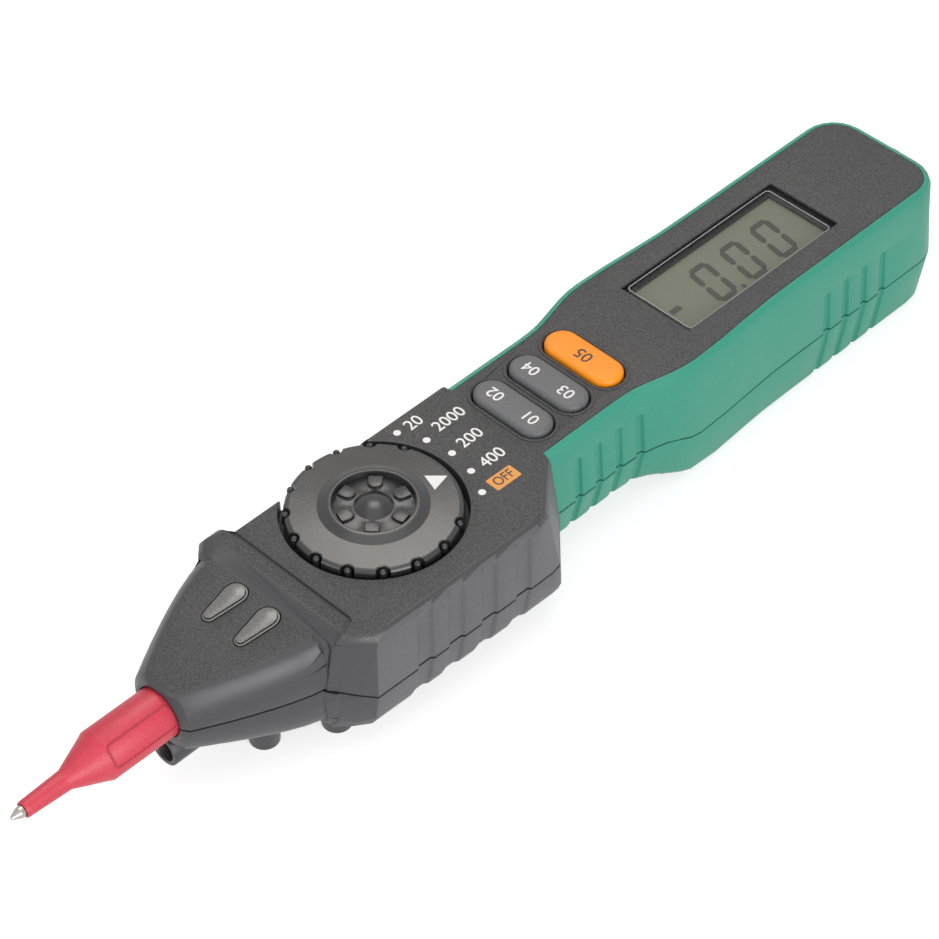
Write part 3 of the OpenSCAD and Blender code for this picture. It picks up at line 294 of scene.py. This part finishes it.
# Painted shade for the joint between two shells: the same plastics, darkened where the gap would cast shade.
painted_shade_black = moulded("abs_painted_seam_shade", "#121213", "#19191A", 0.6, 0.3, 0.01, 0.2)
painted_shade_green = moulded("tpr_painted_seam_shade", "#17594A", "#1C6252", 0.6, 0.3, 0.01, 0.2)
black_plastic = moulded("abs_black_inner", "#1B1B1C", "#222223", 0.5, 0.3, 0.01)
print("plastics:", len(bpy.data.materials))

# %% [markdown]
# ## Metals, glass, ink and the board
#
# The rest are small areas. Metals keep Blender's own IOR and get their look from roughness and a
# fine grain drawn out along the turning or rolling direction. Ink is printed thin, so it is
# slightly uneven. The display is a sandwich: clear window, and a greenish polariser below it.

# %% Metals
GRAIN_MM, WEAR_MM, SMEAR_MM = 0.4, 0.5, 12  # spot size in metal, in ink and on clear plastic


def metal(name, colour, roughness, stretch=(1, 1, 1)):
    """Plated or turned metal with a fine grain, drawn out along the axes with a small stretch."""
    material, tree, shader, where = blank_material(name)
    drawn = add(tree, "ShaderNodeMapping", {"Scale": stretch}, {"Vector": where}).outputs[0]
    grain = noise(tree, drawn, GRAIN_MM, {"Detail": 3.0})
    uneven_gloss(tree, shader, grain, roughness - 0.07, roughness + 0.1)
    shader.inputs["Base Color"].default_value = srgb(colour)
    shader.inputs["Metallic"].default_value = 1.0
    return material


# Nickel-plated brass, ground to a point; the grain runs round the pin.
tip_nickel = metal("nickel_plate_ground", "#A8A49D", 0.2, (1, 8, 1))
spring_steel = metal("steel_zinc_plated", "#BFC2C6", 0.32)
turned_brass = metal("brass_turned", "#D2B063", 0.28, (1, 6, 1))
contact_gold = metal("gold_flash_contact", "#E2BE62", 0.22)
copper_foil = metal("copper_foil", "#C98A66", 0.35)
print("metals made")


# %% Ink, glass and the board
def ink(name, colour, roughness=0.5):
    """Pad-printed ink, thin and very slightly uneven."""
    material, tree, shader, where = blank_material(name)
    wear = noise(tree, where, WEAR_MM, {"Detail": 2.0})
    thin = tuple(0.86 * c for c in srgb(colour)[:3]) + (1,)
    tone = add(tree, "ShaderNodeMixRGB", {"Color1": srgb(colour), "Color2": thin}, {"Fac": wear})
    tree.links.new(tone.outputs["Color"], shader.inputs["Base Color"])
    shader.inputs["Roughness"].default_value = roughness
    return material


white_ink = ink("ink_white", "#EDEDEA")
orange_ink = ink("ink_orange", "#E39A45")
dark_ink = ink("ink_dark", "#2E2018")
segment_ink = ink("lcd_segment_grey", "#4B4E47", 0.4)
# The reflective polariser of a plain display: grey-green, with an even satin gloss.
lcd_green = moulded("lcd_polariser", "#828874", "#888D7A", 0.35, 0.8, 0.004)
mask_black = moulded("ink_mask_black", "#3A3B3C", "#414244", 0.4, 0.5, 0.004)
board_green = moulded("solder_resist_green", "#14502C", "#1A5C34", 0.35, 0.5, 0.01)
chip_black = moulded("epoxy_black", "#1A1A1B", "#232324", 0.5, 0.3, 0.015)
led_white = moulded("epoxy_diffuse", "#DCDAD0", "#E8E6DC", 0.25, 0.5, 0.005)
cell_wrap = moulded("cell_shrink_wrap", "#20364F", "#263E5A", 0.25, 0.6, 0.01)


def clear(name, colour, roughness, alpha):
    """Thin clear plastic: mostly see-through, with a real gloss."""
    material, tree, shader, where = blank_material(name)
    smear = noise(tree, where, SMEAR_MM, {"Detail": 2.0})
    uneven_gloss(tree, shader, smear, roughness, roughness + 0.04)
    shader.inputs["Base Color"].default_value = srgb(colour)
    shader.inputs["Alpha"].default_value = alpha
    shader.inputs["IOR"].default_value = 1.49
    return material


window_acrylic = clear("acrylic_window", "#2A2C2A", 0.04, 0.12)
fuse_glass = clear("glass_fuse", "#E8F0F0", 0.05, 0.35)
# A painted highlight: the pale grey of the window's moulded rim stands for the light that the acrylic's edge
# catches.
painted_rim_highlight = moulded("acrylic_rim_painted_highlight", "#8A8B8E", "#98999C", 0.3, 0.5, 0.004)
# Smoked polycarbonate over the lamps: grey and milky, with a frosted underside that glitters.
smoked_lens = moulded("polycarbonate_smoked", "#5F5F5E", "#7A7976", 0.22, 0.24, 0.02)
print("materials:", len(bpy.data.materials))

# %% [markdown]
# ## Finishes of the CAD nodes
#
# Each node that keeps its CAD shape gets the finish of the real piece. Most of them sit inside the
# case, where only an open view would show them, but a model that is taken apart shows them all.

# %% Give each node its finish
finishes = {
    "upper_case": spark_abs, "lower_case": blasted_abs,
    "upper_grip": green_tpr, "lower_grip": green_tpr, "battery_cover": green_tpr,
    "dial_knob": dial_abs, "dial_hub": hub_abs, "dial_pointer": white_ink, "dial_rotor": nylon,
    "detent_ring": nylon, "detent_balls": spring_steel, "detent_springs": spring_steel,
    "push_button": orange_rubber, "rocker_near": grey_rubber, "rocker_far": grey_rubber,
    "button_pad": black_plastic, "main_board": board_green, "board_chips": chip_black,
    "buzzer": chip_black, "fuse": fuse_glass, "fuse_clips": contact_gold,
    "wiper_contacts": contact_gold, "zebra_strips": black_plastic, "indicator_leds": led_white,
    "lcd_holder": nylon, "lcd_glass": lcd_green, "lcd_mask": mask_black, "lcd_window": window_acrylic,
    "lens_left": smoked_lens, "lens_right": smoked_lens,
    "probe_pin": tip_nickel, "probe_bush": turned_brass, "probe_sleeve": red_plastic,
    "ncv_antenna": copper_foil, "torch_led": led_white,
    "com_jack": turned_brass, "jack_shroud": black_plastic,
    "batteries": cell_wrap, "battery_springs": spring_steel, "battery_plates": spring_steel,
    "case_screws": spring_steel,
}
for name, finish in finishes.items():
    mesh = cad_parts[name].data
    mesh.materials.clear()
    mesh.materials.append(finish)
print("finished nodes:", len(finishes), "of", len(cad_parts))

# %% [markdown]
# ## Case shells with rounded edges
#
# A real moulding has no sharp edge: the mould's cutter leaves a small radius, and that radius is
# what catches the light. So each shell starts as a copy of its CAD mesh. Its doubled points are
# merged, and a Bevel modifier rounds every edge that turns by more than a set angle. The triangles
# of a flat face turn by nothing, so it leaves them alone.

# %% Copy a shell and round its edges
MERGE_MM = 0.004  # points closer than this become one
SMOOTH_BELOW = 28  # edges that turn by less than this, in degrees, are shaded smooth
# Radius of the rounded edges in mm, by kind of piece.
EDGE_MM = {"case": 0.22, "grip": 0.2, "key": 0.12, "lens": 0.16, "hub": 0.14, "sleeve": 0.15}


def rounded_shell(node, name, radius_mm, angle=32):
    """A copy of a CAD node's mesh with merged points and rounded edges, which replaces the node."""
    shell = bpy.data.objects.new(name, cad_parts[node].data.copy())
    bpy.context.collection.objects.link(shell)
    only(shell)
    if shell.data.has_custom_normals:
        bpy.ops.mesh.customdata_custom_splitnormals_clear()
    bpy.ops.object.mode_set(mode="EDIT")
    bpy.ops.mesh.select_all(action="SELECT")
    bpy.ops.mesh.remove_doubles(threshold=MERGE_MM * MM)
    bpy.ops.object.mode_set(mode="OBJECT")
    bevel = shell.modifiers.new("mould radius", "BEVEL")
    bevel.width = radius_mm * MM
    bevel.segments = 2
    bevel.limit_method = "ANGLE"
    bevel.angle_limit = math.radians(angle)
    bevel.use_clamp_overlap = False
    bevel.miter_outer = "MITER_ARC"
    bpy.ops.object.modifier_apply(modifier=bevel.name)
    bpy.ops.object.shade_smooth_by_angle(angle=math.radians(SMOOTH_BELOW))
    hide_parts(node)
    print(name, len(shell.data.polygons), "faces")
    return shell


def paint_faces(piece, choose, finish):
    """Gives the faces that choose(centre in mm from the dial, normal) picks another finish."""
    piece.data.materials.append(finish)
    slot = len(piece.data.materials) - 1
    for face in piece.data.polygons:
        if choose(face.center / MM - DIAL, face.normal):
            face.material_index = slot


upper_shell = rounded_shell("upper_case", "head_and_face_shell", EDGE_MM["case"])
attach(upper_shell, "housing")
lower_shell = rounded_shell("lower_case", "head_lower_shell", EDGE_MM["case"])
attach(lower_shell, "housing")
GRIP_PIECES = (
    ("upper_grip", "grip_upper_rim", "housing"),
    ("lower_grip", "grip_lower_shell", "housing"),
    ("battery_cover", "battery_door", "cover"),
)
grip_shells = []
for node, name, body in GRIP_PIECES:
    shell = rounded_shell(node, name, EDGE_MM["grip"])
    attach(shell, body)
    grip_shells.append(shell)

# %% [markdown]
# ## Three textures on one shell
#
# The upper half of the head is one moulding, but its mould was finished in three ways: grit on the
# flat faces, a finer blast on the slopes of the nose, and a paler hand side with its finger
# grooves. Faces are picked by where they point and where they lie.

# %% Finish the head's faces
FLAT = 0.975  # a face whose normal has less z than this isn't part of a flat top
STEEP = 0.5  # a face whose normal has less z than this is a side
HEAD_END_Y = -29  # where the head's dark sides end and the grip begins
HAND_FROM_Y, HAND_TO_Y, HAND_X = -30, 18.5, 12.5  # the grooved sides of the head


def is_slope(p, n):
    return n.z < FLAT and p.y > HEAD_END_Y


def is_hand_side(p, n):
    return abs(n.z) < STEEP and HAND_FROM_Y < p.y < HAND_TO_Y and abs(p.x) > HAND_X


paint_faces(upper_shell, is_slope, blasted_abs)
paint_faces(upper_shell, is_hand_side, hand_abs)
paint_faces(lower_shell, is_hand_side, hand_abs)
print("head painted")

# %% [markdown]
# ## The seam between the halves
#
# The halves of the case meet in a fine joint that runs from the nose to the tail. The rounded
# edges on both sides of it are thin strips, so they are found by their height and given painted
# shade, a darker copy of their plastic that stands in for the shade deep in the gap.

# %% Paint shade into the seam
# The joint's course from the tip to the tail, as (y, z) in mm, and half its width.
SEAM_STEPS = ((26.1, -10.8), (24.1, -11.7), (19.3, -13.8), (-54.0, -13.8), (-62.0, -15.7))
SEAM_HALF = 0.24


def seam_height(y):
    """Height of the joint between the halves, in mm from the face, at a place along the case."""
    if y >= SEAM_STEPS[0][0]:
        return SEAM_STEPS[0][1]
    for (near_y, near_z), (far_y, far_z) in zip(SEAM_STEPS, SEAM_STEPS[1:]):
        if y > far_y:
            return near_z + (far_z - near_z) * (near_y - y) / (near_y - far_y)
    return SEAM_STEPS[-1][1]


def is_painted_seam_shade(p, n):
    return abs(p.z - seam_height(p.y)) < SEAM_HALF


# Painted shade: the rounded edges along the joint get a darker copy of their plastic.
for shell in (upper_shell, lower_shell):
    paint_faces(shell, is_painted_seam_shade, painted_shade_black)
for shell in grip_shells[:2]:
    paint_faces(shell, is_painted_seam_shade, painted_shade_green)
print("seam shaded")

# %% [markdown]
# ## Keys
#
# The keys are silicone caps with rounded shoulders. Around each hole the face plate carries a low
# collar, which keeps a finger from pressing a key by accident and shows as a fine line.

# %% Keys and their collars
# Where each key's middle lies along the meter, in mm from the dial's axis.
KEY_YS = {"rocker_near": -31.9, "rocker_far": -40.4, "push_button": -48.9}
KEY_BODIES = {"rocker_near": "near_rocker", "rocker_far": "far_rocker", "push_button": "orange_button"}
for node, body in KEY_BODIES.items():
    key = rounded_shell(node, node + "_cap", EDGE_MM["key"], angle=40)
    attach(key, body)


def flat_plate(x, y, z, x_mm, y_mm, corner, segments, turned=0):
    """A flat plate with round or cut corners, left in edit mode. It may be turned, in degrees."""
    bpy.ops.object.select_all(action="DESELECT")
    bpy.ops.mesh.primitive_plane_add(size=1, location=at(x, y, z), rotation=(0, 0, math.radians(turned)))
    plate = bpy.context.object
    plate.scale = (x_mm * MM, y_mm * MM, 1)
    bpy.ops.object.transform_apply(location=True, rotation=True, scale=True)
    bpy.ops.object.mode_set(mode="EDIT")
    bpy.ops.mesh.select_all(action="SELECT")
    bpy.ops.mesh.bevel(offset=corner * MM, segments=segments, affect="VERTICES")
    return plate


def extrude_up(height_mm):
    """Extrudes what is selected straight up, or down where the height is negative."""
    bpy.ops.mesh.extrude_region_move(TRANSFORM_OT_translate={"value": (0, 0, height_mm * MM)})


def thicken(height_mm):
    """Extrudes a flat piece upwards, turns its faces outwards and leaves edit mode."""
    bpy.ops.mesh.select_all(action="SELECT")
    extrude_up(height_mm)
    bpy.ops.mesh.select_all(action="SELECT")
    bpy.ops.mesh.normals_make_consistent(inside=False)
    bpy.ops.object.mode_set(mode="OBJECT")


def rounded_ring(name, middle_y, x_mm, y_mm, corner, thickness, z_low, z_high):
    """A low ring with round corners, made as a flat plate that is inset, emptied and raised."""
    ring = flat_plate(0, middle_y, z_low, x_mm, y_mm, corner, 14)
    ring.name = name
    bpy.ops.mesh.remove_doubles(threshold=MERGE_MM * MM)
    bpy.ops.mesh.select_all(action="SELECT")
    bpy.ops.mesh.inset(thickness=thickness * MM)
    bpy.ops.mesh.delete(type="FACE")
    thicken(z_high - z_low)
    bevel = ring.modifiers.new("soft edge", "BEVEL")
    bevel.width = thickness / 9 * MM
    bevel.segments = 2
    bpy.ops.object.modifier_apply(modifier=bevel.name)
    bpy.ops.object.shade_smooth_by_angle(angle=math.radians(30))
    return ring


for node, y in KEY_YS.items():
    collar = rounded_ring(
        node + "_collar", y, x_mm=17.9, y_mm=8.1, corner=3.9, thickness=0.45, z_low=-0.03, z_high=0.16
    )
    collar.data.materials.append(spark_abs)
    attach(collar, "housing")
print("keys and collars made")

# %% [markdown]
# ## The lenses
#
# Two drop-shaped lenses cover the voltage lamps. Each sits in a narrow slot, whose shadow draws a
# dark line round it, so a lens is a rounded copy of its solid with its upright sides darkened.

# %% Lenses
LENS_SIDE = 0.62  # a face of a lens whose normal has less z than this belongs to its side


def is_upright(p, n):
    return n.z < LENS_SIDE


for node in ("lens_left", "lens_right"):
    lens = rounded_shell(node, node + "_drop", EDGE_MM["lens"], angle=40)
    # Painted shade on the lens's upright sides, for the shadow of the slot it sits in.
    paint_faces(lens, is_upright, painted_shade_black)
    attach(lens, "housing")
print("lenses made")

# %% [markdown]
# ## The dial
#
# The dial is a disc with a rounded rim, a low step in the middle for the hub, and finger notches
# round its edge. It could be spun from a profile. Here it is grown from a cylinder, because an inset
# with a depth draws a turned shape one ring at a time: each pair below is how far the next ring lies
# inwards and how much higher. Narrow rings on both sides of an edge hold it crisp when it is shaded
# smooth, and a bevel rounds the sharpest edges.

# %% Turn the dial
# The rim's radius, its rounding and its height above the face, and how deep the disc reaches.
RIM_R, RIM_ROUND, RIM_TOP, DISC_FOOT = 14.6, 0.9, 0.72, -3.2
HOLD = 0.12  # width of the narrow rings that hold an edge crisp
SHAFT_R = 4.0
TOP_RINGS = [
    (HOLD, 0.006), (4.6 - 2 * HOLD, 0.288), (HOLD, 0.006),  # the outer ring, which rises gently
    (HOLD, 0.045), (1.5 - 2 * HOLD, 0.59), (HOLD, 0.045),  # the steeper step inside it
    (0.5, 0.1), (0.25, -0.1), (0.05, -1.5),  # a small lip, and the well in which the hub sits
]
FOOT_RINGS = [(RIM_R - SHAFT_R, 0), (0.05, 2.0), (1.55, 0), (0.05, 1.8)]  # the shaft and its stub


def pick_faces(piece, choose):
    """Selects, in edit mode, the faces that choose(centre in mm from the dial, normal) names."""
    bpy.ops.object.mode_set(mode="EDIT")
    bpy.ops.mesh.select_mode(type="FACE")
    bpy.ops.mesh.select_all(action="DESELECT")
    bpy.ops.object.mode_set(mode="OBJECT")
    for face in piece.data.polygons:
        face.select = choose(face.center / MM - DIAL, face.normal)
    bpy.ops.object.mode_set(mode="EDIT")


def rings(steps):
    """Insets the selected face ring by ring: (inwards, outwards along its normal), in mm."""
    for inwards, out in steps:
        bpy.ops.mesh.inset(thickness=inwards * MM, depth=out * MM)


def solid_cylinder(x, y, radius, z_low, z_high, sides):
    """A cylinder between two heights, with its place in its mesh."""
    bpy.ops.object.select_all(action="DESELECT")
    place = at(x, y, (z_low + z_high) / 2)
    bpy.ops.mesh.primitive_cylinder_add(
        vertices=sides, radius=radius * MM, depth=(z_high - z_low) * MM, location=place
    )
    bpy.ops.object.transform_apply(location=True, rotation=True, scale=True)
    return bpy.context.object


disc = solid_cylinder(0, 0, RIM_R, DISC_FOOT, RIM_TOP - RIM_ROUND, 128)
turns = [math.radians(angle) for angle in (0, 22.5, 45, 67.5, 90)]
rim = [
    (RIM_ROUND * (math.cos(a) - math.cos(b)), RIM_ROUND * (math.sin(b) - math.sin(a)))
    for a, b in zip(turns, turns[1:])
]
pick_faces(disc, lambda p, n: n.z > 0.9)
rings(rim + TOP_RINGS)
pick_faces(disc, lambda p, n: n.z < -0.9 and p.z < DISC_FOOT + 0.1)
rings(FOOT_RINGS)
bpy.ops.object.mode_set(mode="OBJECT")
soften = disc.modifiers.new("ring edges", "BEVEL")
soften.width, soften.segments = 0.1 * MM, 2
soften.limit_method, soften.angle_limit = "ANGLE", math.radians(30)
bpy.ops.object.modifier_apply(modifier=soften.name)
print("dial turned:", len(disc.data.polygons), "faces")

# %% [markdown]
# The notches are cut with a Boolean. Its cutters are flared at the top, so the cut leaves a small
# chamfer along each notch, and no bevel has to follow the cut.

# %% Cut the notches
NOTCHES = 13
POINTER_AT, FIRST_NOTCH, NOTCH_PITCH = -106.8, 42.5, 22.9  # degrees; the first from +X
# A notch's radius, its distance from the axis, its floor and the flare of its cutter, in mm.
NOTCH_R, NOTCH_AT, NOTCH_FLOOR, FLARE = 1.3, 14.75, -1.6, 0.3


def knob_angle(i):
    """Direction of a notch round the dial, counted from the pointer."""
    return math.radians(POINTER_AT + FIRST_NOTCH + i * NOTCH_PITCH)


cutters = []
for i in range(NOTCHES):
    x, y = NOTCH_AT * math.cos(knob_angle(i)), NOTCH_AT * math.sin(knob_angle(i))
    cutter = solid_cylinder(x, y, NOTCH_R + FLARE, RIM_TOP + FLARE / 2, RIM_TOP + 1, 24)
    pick_faces(cutter, lambda p, n: n.z < -0.9)
    rings([(FLARE, FLARE)])
    extrude_up(NOTCH_FLOOR - RIM_TOP + FLARE / 2)
    bpy.ops.object.mode_set(mode="OBJECT")
    cutters.append(cutter)
only(*cutters)
bpy.ops.object.join()
notches = bpy.context.object
only(disc)
cut = disc.modifiers.new("notches", "BOOLEAN")
cut.object, cut.operation, cut.solver = notches, "DIFFERENCE", "EXACT"
bpy.ops.object.modifier_apply(modifier=cut.name)
bpy.ops.object.shade_smooth_by_angle(angle=math.radians(SMOOTH_BELOW))
bpy.data.objects.remove(notches)
disc.name = "dial_disc"
disc.data.materials.clear()
disc.data.materials.append(dial_abs)
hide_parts("dial_knob")
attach(disc, "dial")
hub = rounded_shell("dial_hub", "dial_hub_cap", EDGE_MM["hub"], angle=30)
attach(hub, "dial")
print("dial cut:", len(disc.data.polygons), "faces")

# %% [markdown]
# ## The probe sleeve
#
# The red sleeve slides on the needle and keeps all but its point insulated.

# %% Sleeve
sleeve = rounded_shell("probe_sleeve", "probe_sleeve_body", EDGE_MM["sleeve"], angle=30)
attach(sleeve, "sleeve")
print("sleeve:", len(sleeve.data.polygons), "faces")

# %% [markdown]
# The sleeve carries a raised outline with round corners, the frame of a bare panel. It is drawn flat
# as a ring, subdivided so that it can bend, and then wrapped round the sleeve point by point.

# %% Wrap the panel outline round the sleeve
SLEEVE_LOW, SLEEVE_HIGH = (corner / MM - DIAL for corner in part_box("probe_sleeve"))
SLEEVE_R = (SLEEVE_HIGH.x - SLEEVE_LOW.x) / 2
SLEEVE_X, SLEEVE_Z = (SLEEVE_HIGH.x + SLEEVE_LOW.x) / 2, (SLEEVE_HIGH.z + SLEEVE_LOW.z) / 2
# The panel's middle along the sleeve, its length, its width along the arc, and how many degrees it
# lies away from straight up.
PANEL_Y, PANEL_L, PANEL_ARC, PANEL_TURN = 53.3, 12.6, 4.6, 57.0
outline = rounded_ring(
    "sleeve_panel_outline", PANEL_Y, PANEL_ARC, PANEL_L, corner=1.1, thickness=0.36, z_low=-0.06, z_high=0.11
)
bpy.ops.object.mode_set(mode="EDIT")
bpy.ops.mesh.select_all(action="SELECT")
bpy.ops.mesh.subdivide(number_cuts=5)
bpy.ops.object.mode_set(mode="OBJECT")
for point in outline.data.vertices:
    place = point.co / MM - DIAL
    turn_round = math.radians(-PANEL_TURN) + place.x / SLEEVE_R
    reach = SLEEVE_R + place.z
    across, height = reach * math.sin(turn_round), reach * math.cos(turn_round)
    point.co = at(SLEEVE_X + across, place.y, SLEEVE_Z + height)
outline.data.materials.append(red_groove)
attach(outline, "sleeve")
print("sleeve radius:", round(SLEEVE_R, 2), "mm")

# %% [markdown]
# ## Seats in the dial's notches
#
# Each notch of the dial holds a small post with a round head, which gives the fingertip something
# to push on. A ball is cut in half and its flat side is drawn down to the floor of the notch.

# %% Seats round the dial
# A post's distance from the axis, its radius and the height at which its round head begins.
SEAT_AT, SEAT_R, SEAT_Z = 14.2, 0.62, 0.0
SUNK = 0.1  # how far a post reaches into the floor, so that no gap can show
seats = []
for i in range(NOTCHES):
    bpy.ops.object.select_all(action="DESELECT")
    x, y = SEAT_AT * math.cos(knob_angle(i)), SEAT_AT * math.sin(knob_angle(i))
    place = at(x, y, SEAT_Z)
    bpy.ops.mesh.primitive_uv_sphere_add(segments=20, ring_count=12, radius=SEAT_R * MM, location=place)
    seat = bpy.context.object
    bpy.ops.object.transform_apply(location=True, rotation=True, scale=True)
    bpy.ops.object.mode_set(mode="EDIT")
    bpy.ops.mesh.select_all(action="SELECT")
    cut_at = at(0, 0, SEAT_Z + 0.01)
    bpy.ops.mesh.bisect(plane_co=cut_at, plane_no=(0, 0, 1), clear_inner=True, use_fill=True)
    pick_faces(seat, lambda p, n: n.z < -0.9)
    extrude_up(NOTCH_FLOOR - SUNK - SEAT_Z)
    bpy.ops.object.mode_set(mode="OBJECT")
    seats.append(seat)
only(*seats)
bpy.ops.object.join()
dial_seats = bpy.context.object
dial_seats.name = "dial_notch_seats"
bpy.ops.object.shade_smooth_by_angle(angle=math.radians(50))
dial_seats.data.materials.append(hub_abs)
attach(dial_seats, "dial")
print("seats:", len(seats))

# %% [markdown]
# ## Printed marks
#
# The marks are pad-printed on the face: a thin layer of ink that follows the plastic. They are
# generic here, plain numbers for the ranges and OFF for the stop that switches the meter off. Each
# mark is a flat shape a few hundredths of a millimetre high. Text starts as a text object and
# becomes a mesh.

# %% Helpers for ink
INK = 0.03  # thickness of a mark, in mm
CAPITAL = 0.7  # height of a capital letter as a share of the font's size


def settle(piece, name, body, finish):
    """Applies a piece's place and gives it its name, body and finish."""
    only(piece)
    bpy.ops.object.transform_apply(location=True, rotation=True, scale=True)
    piece.name = name
    piece.data.materials.clear()
    piece.data.materials.append(finish)
    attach(piece, body)
    return piece


def words(name, text, x, y, z, height_mm, reads_along, body, finish, width=1.0, bolder=0.02):
    """Printed text, centred on a place; it reads along a compass angle in degrees from +X."""
    bpy.ops.object.select_all(action="DESELECT")
    bpy.ops.object.text_add(location=at(x, y, z), rotation=(0, 0, math.radians(reads_along)))
    label = bpy.context.object
    label.data.body = text
    label.data.align_x = "CENTER"
    label.data.align_y = "CENTER"
    label.data.size = height_mm / CAPITAL * MM
    label.data.extrude = INK / 2 * MM
    label.data.offset = bolder * MM
    label.scale.x = width
    bpy.ops.object.convert(target="MESH")
    return settle(bpy.context.object, name, body, finish)


def spot(name, x, y, z, radius_mm, body, finish):
    """A printed round spot: a flat cylinder with its rim eased."""
    bpy.ops.object.select_all(action="DESELECT")
    place = at(x, y, z)
    bpy.ops.mesh.primitive_cylinder_add(vertices=28, radius=radius_mm * MM, depth=INK * MM, location=place)
    bpy.ops.object.mode_set(mode="EDIT")
    bpy.ops.mesh.bevel(offset=INK / 4 * MM, segments=1)
    bpy.ops.object.mode_set(mode="OBJECT")
    return settle(bpy.context.object, name, body, finish)


def rounded_patch(name, x, y, z, x_mm, y_mm, corner, turned, body, finish):
    """A printed patch: small corners are rounded, large ones are cut straight."""
    patch = flat_plate(x, y, z, x_mm, y_mm, corner, 4 if corner < y_mm / 3 else 1, turned)
    thicken(INK)
    return settle(patch, name, body, finish)


# %% Marks round the dial
ON_FACE = 0.012  # marks are placed this much above their surface, in mm
DOT_ANGLES = (-56.4, -73.2, -90.0, -106.8, -123.6)  # one stop of the dial apart, from +X
DOT_CIRCLE, DOT_R = 17.7, 0.65
RANGE_MARKS = (("20", 9.5, -18.3), ("2000", 6.0, -23.0), ("200", 0.4, -22.3), ("400", -5.4, -21.6))
RANGE_HEIGHT, TO_THE_TAIL = 2.3, -90  # height of the figures, and the direction they read in
OFF_X, OFF_Y, OFF_TURN, OFF_HEIGHT, OFF_NARROW = -10.0, -19.5, -91, 1.9, 0.85
for number, angle in enumerate(DOT_ANGLES, 1):
    x, y = DOT_CIRCLE * math.cos(math.radians(angle)), DOT_CIRCLE * math.sin(math.radians(angle))
    spot(f"range_dot_{number}", x, y, ON_FACE, DOT_R, "housing", white_ink)
for number, (text, x, y) in enumerate(RANGE_MARKS, 1):
    name = f"range_mark_{number}"
    words(name, text, x, y, ON_FACE, RANGE_HEIGHT, TO_THE_TAIL, "housing", white_ink)
rounded_patch(
    "off_patch", OFF_X, OFF_Y, ON_FACE, 5.4, 3.0, 0.25, OFF_TURN,
    "housing", orange_ink,
)
words(
    "off_mark", "OFF", OFF_X, OFF_Y, ON_FACE + INK, OFF_HEIGHT, OFF_TURN,
    "housing", dark_ink, OFF_NARROW,
)
print("dial marked")

# %% Marks on the keys
KEY_TOP = 1.012  # where the marks lie on the keys, in mm above the face
# Each mark: its text, its x, its key, its height in mm and its ink.
KEY_MARKS = (
    ("01", -4.0, "rocker_near", 2.2, white_ink),
    ("02", 4.0, "rocker_near", 2.2, white_ink),
    ("03", -4.0, "rocker_far", 2.2, white_ink),
    ("04", 4.0, "rocker_far", 2.2, white_ink),
    ("05", 0.0, "push_button", 2.3, dark_ink),
)
for number, (text, x, node, height_mm, finish) in enumerate(KEY_MARKS, 1):
    name, body = f"key_mark_{number}", KEY_BODIES[node]
    words(name, text, x, KEY_YS[node], KEY_TOP, height_mm, 0, body, finish)
print("keys marked")

# %% [markdown]
# ## The display
#
# A plain reflective display shows seven-segment figures: each figure is made of bars with pointed
# ends that lean a few degrees. One bar is a flat patch whose corners are cut; the figures are three
# noughts with a point after the first, and a short bar stands for the sign.

# %% Build the figures
LCD_TOP = -2.0 + ON_FACE  # the polariser lies 2 mm below the face
# A bar's width, a figure's width and height in mm, and its lean as a slope.
STROKE, FIGURE_W, FIGURE_H, LEAN = 1.12, 4.8, 9.8, 0.15
POINTED = 0.46  # how much of a stroke's width is cut from each corner
FIGURE_FOOT = -6.0  # the figures' lower edge, x from the dial's axis
FIGURE_STARTS = (77.1, 85.0, 93.0)  # where each nought begins, towards the tail


def segment(x, y, x_mm, y_mm, corner):
    """One flat mark of the display."""
    return rounded_patch("segment", x, y, LCD_TOP, x_mm, y_mm, corner, 0, "housing", segment_ink)


def bar(u, v, length, upright, base_u):
    """One bar at (u, v) of a figure; u runs along the reading direction, v up."""
    x_mm, y_mm = (length, STROKE) if upright else (STROKE, length)
    return segment(v + FIGURE_FOOT, -(base_u + u), x_mm, y_mm, STROKE * POINTED)


mid = FIGURE_H / 2
tall, wide = mid - STROKE * 0.75, FIGURE_W - STROKE * 1.1
left, right = STROKE / 2, FIGURE_W - STROKE / 2
lower, upper = mid / 2 + STROKE / 5, mid * 1.5 - STROKE / 5
NOUGHT = (
    (left, lower, tall, True), (left, upper, tall, True),
    (right, lower, tall, True), (right, upper, tall, True),
    (FIGURE_W / 2, STROKE / 2, wide, False), (FIGURE_W / 2, FIGURE_H - STROKE / 2, wide, False),
)
segments = []
for base in FIGURE_STARTS:
    for u, v, length, upright in NOUGHT:
        piece = bar(u, v, length, upright, base)
        for point in piece.data.vertices:
            point.co.y -= LEAN * (point.co.x - at(FIGURE_FOOT, 0, 0).x)
        segments.append(piece)
segments.append(segment(-5.6, -83.2, 0.8, 0.8, 0.2))  # the point
segments.append(segment(-1.35, -70.4, 1.2, 2.3, 0.1))  # the sign
only(*segments)
bpy.ops.object.join()
figures = bpy.context.object
figures.name = "display_figures"
print("segments:", len(segments))

# %% [markdown]
# The window lies in a shallow recess. A pale ring along its moulded rim is a painted highlight.

# %% Paint a highlight along the window's rim
WINDOW_Y = -85.75
# Painted highlight: a thin pale ring just inside the window's recess.
rim_line = rounded_ring(
    "window_rim_painted_highlight", WINDOW_Y, x_mm=14.9, y_mm=36.7, corner=0.9, thickness=0.2, z_low=-0.64, z_high=-0.57
)
rim_line.data.materials.append(painted_rim_highlight)
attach(rim_line, "housing")
print("window rim drawn")
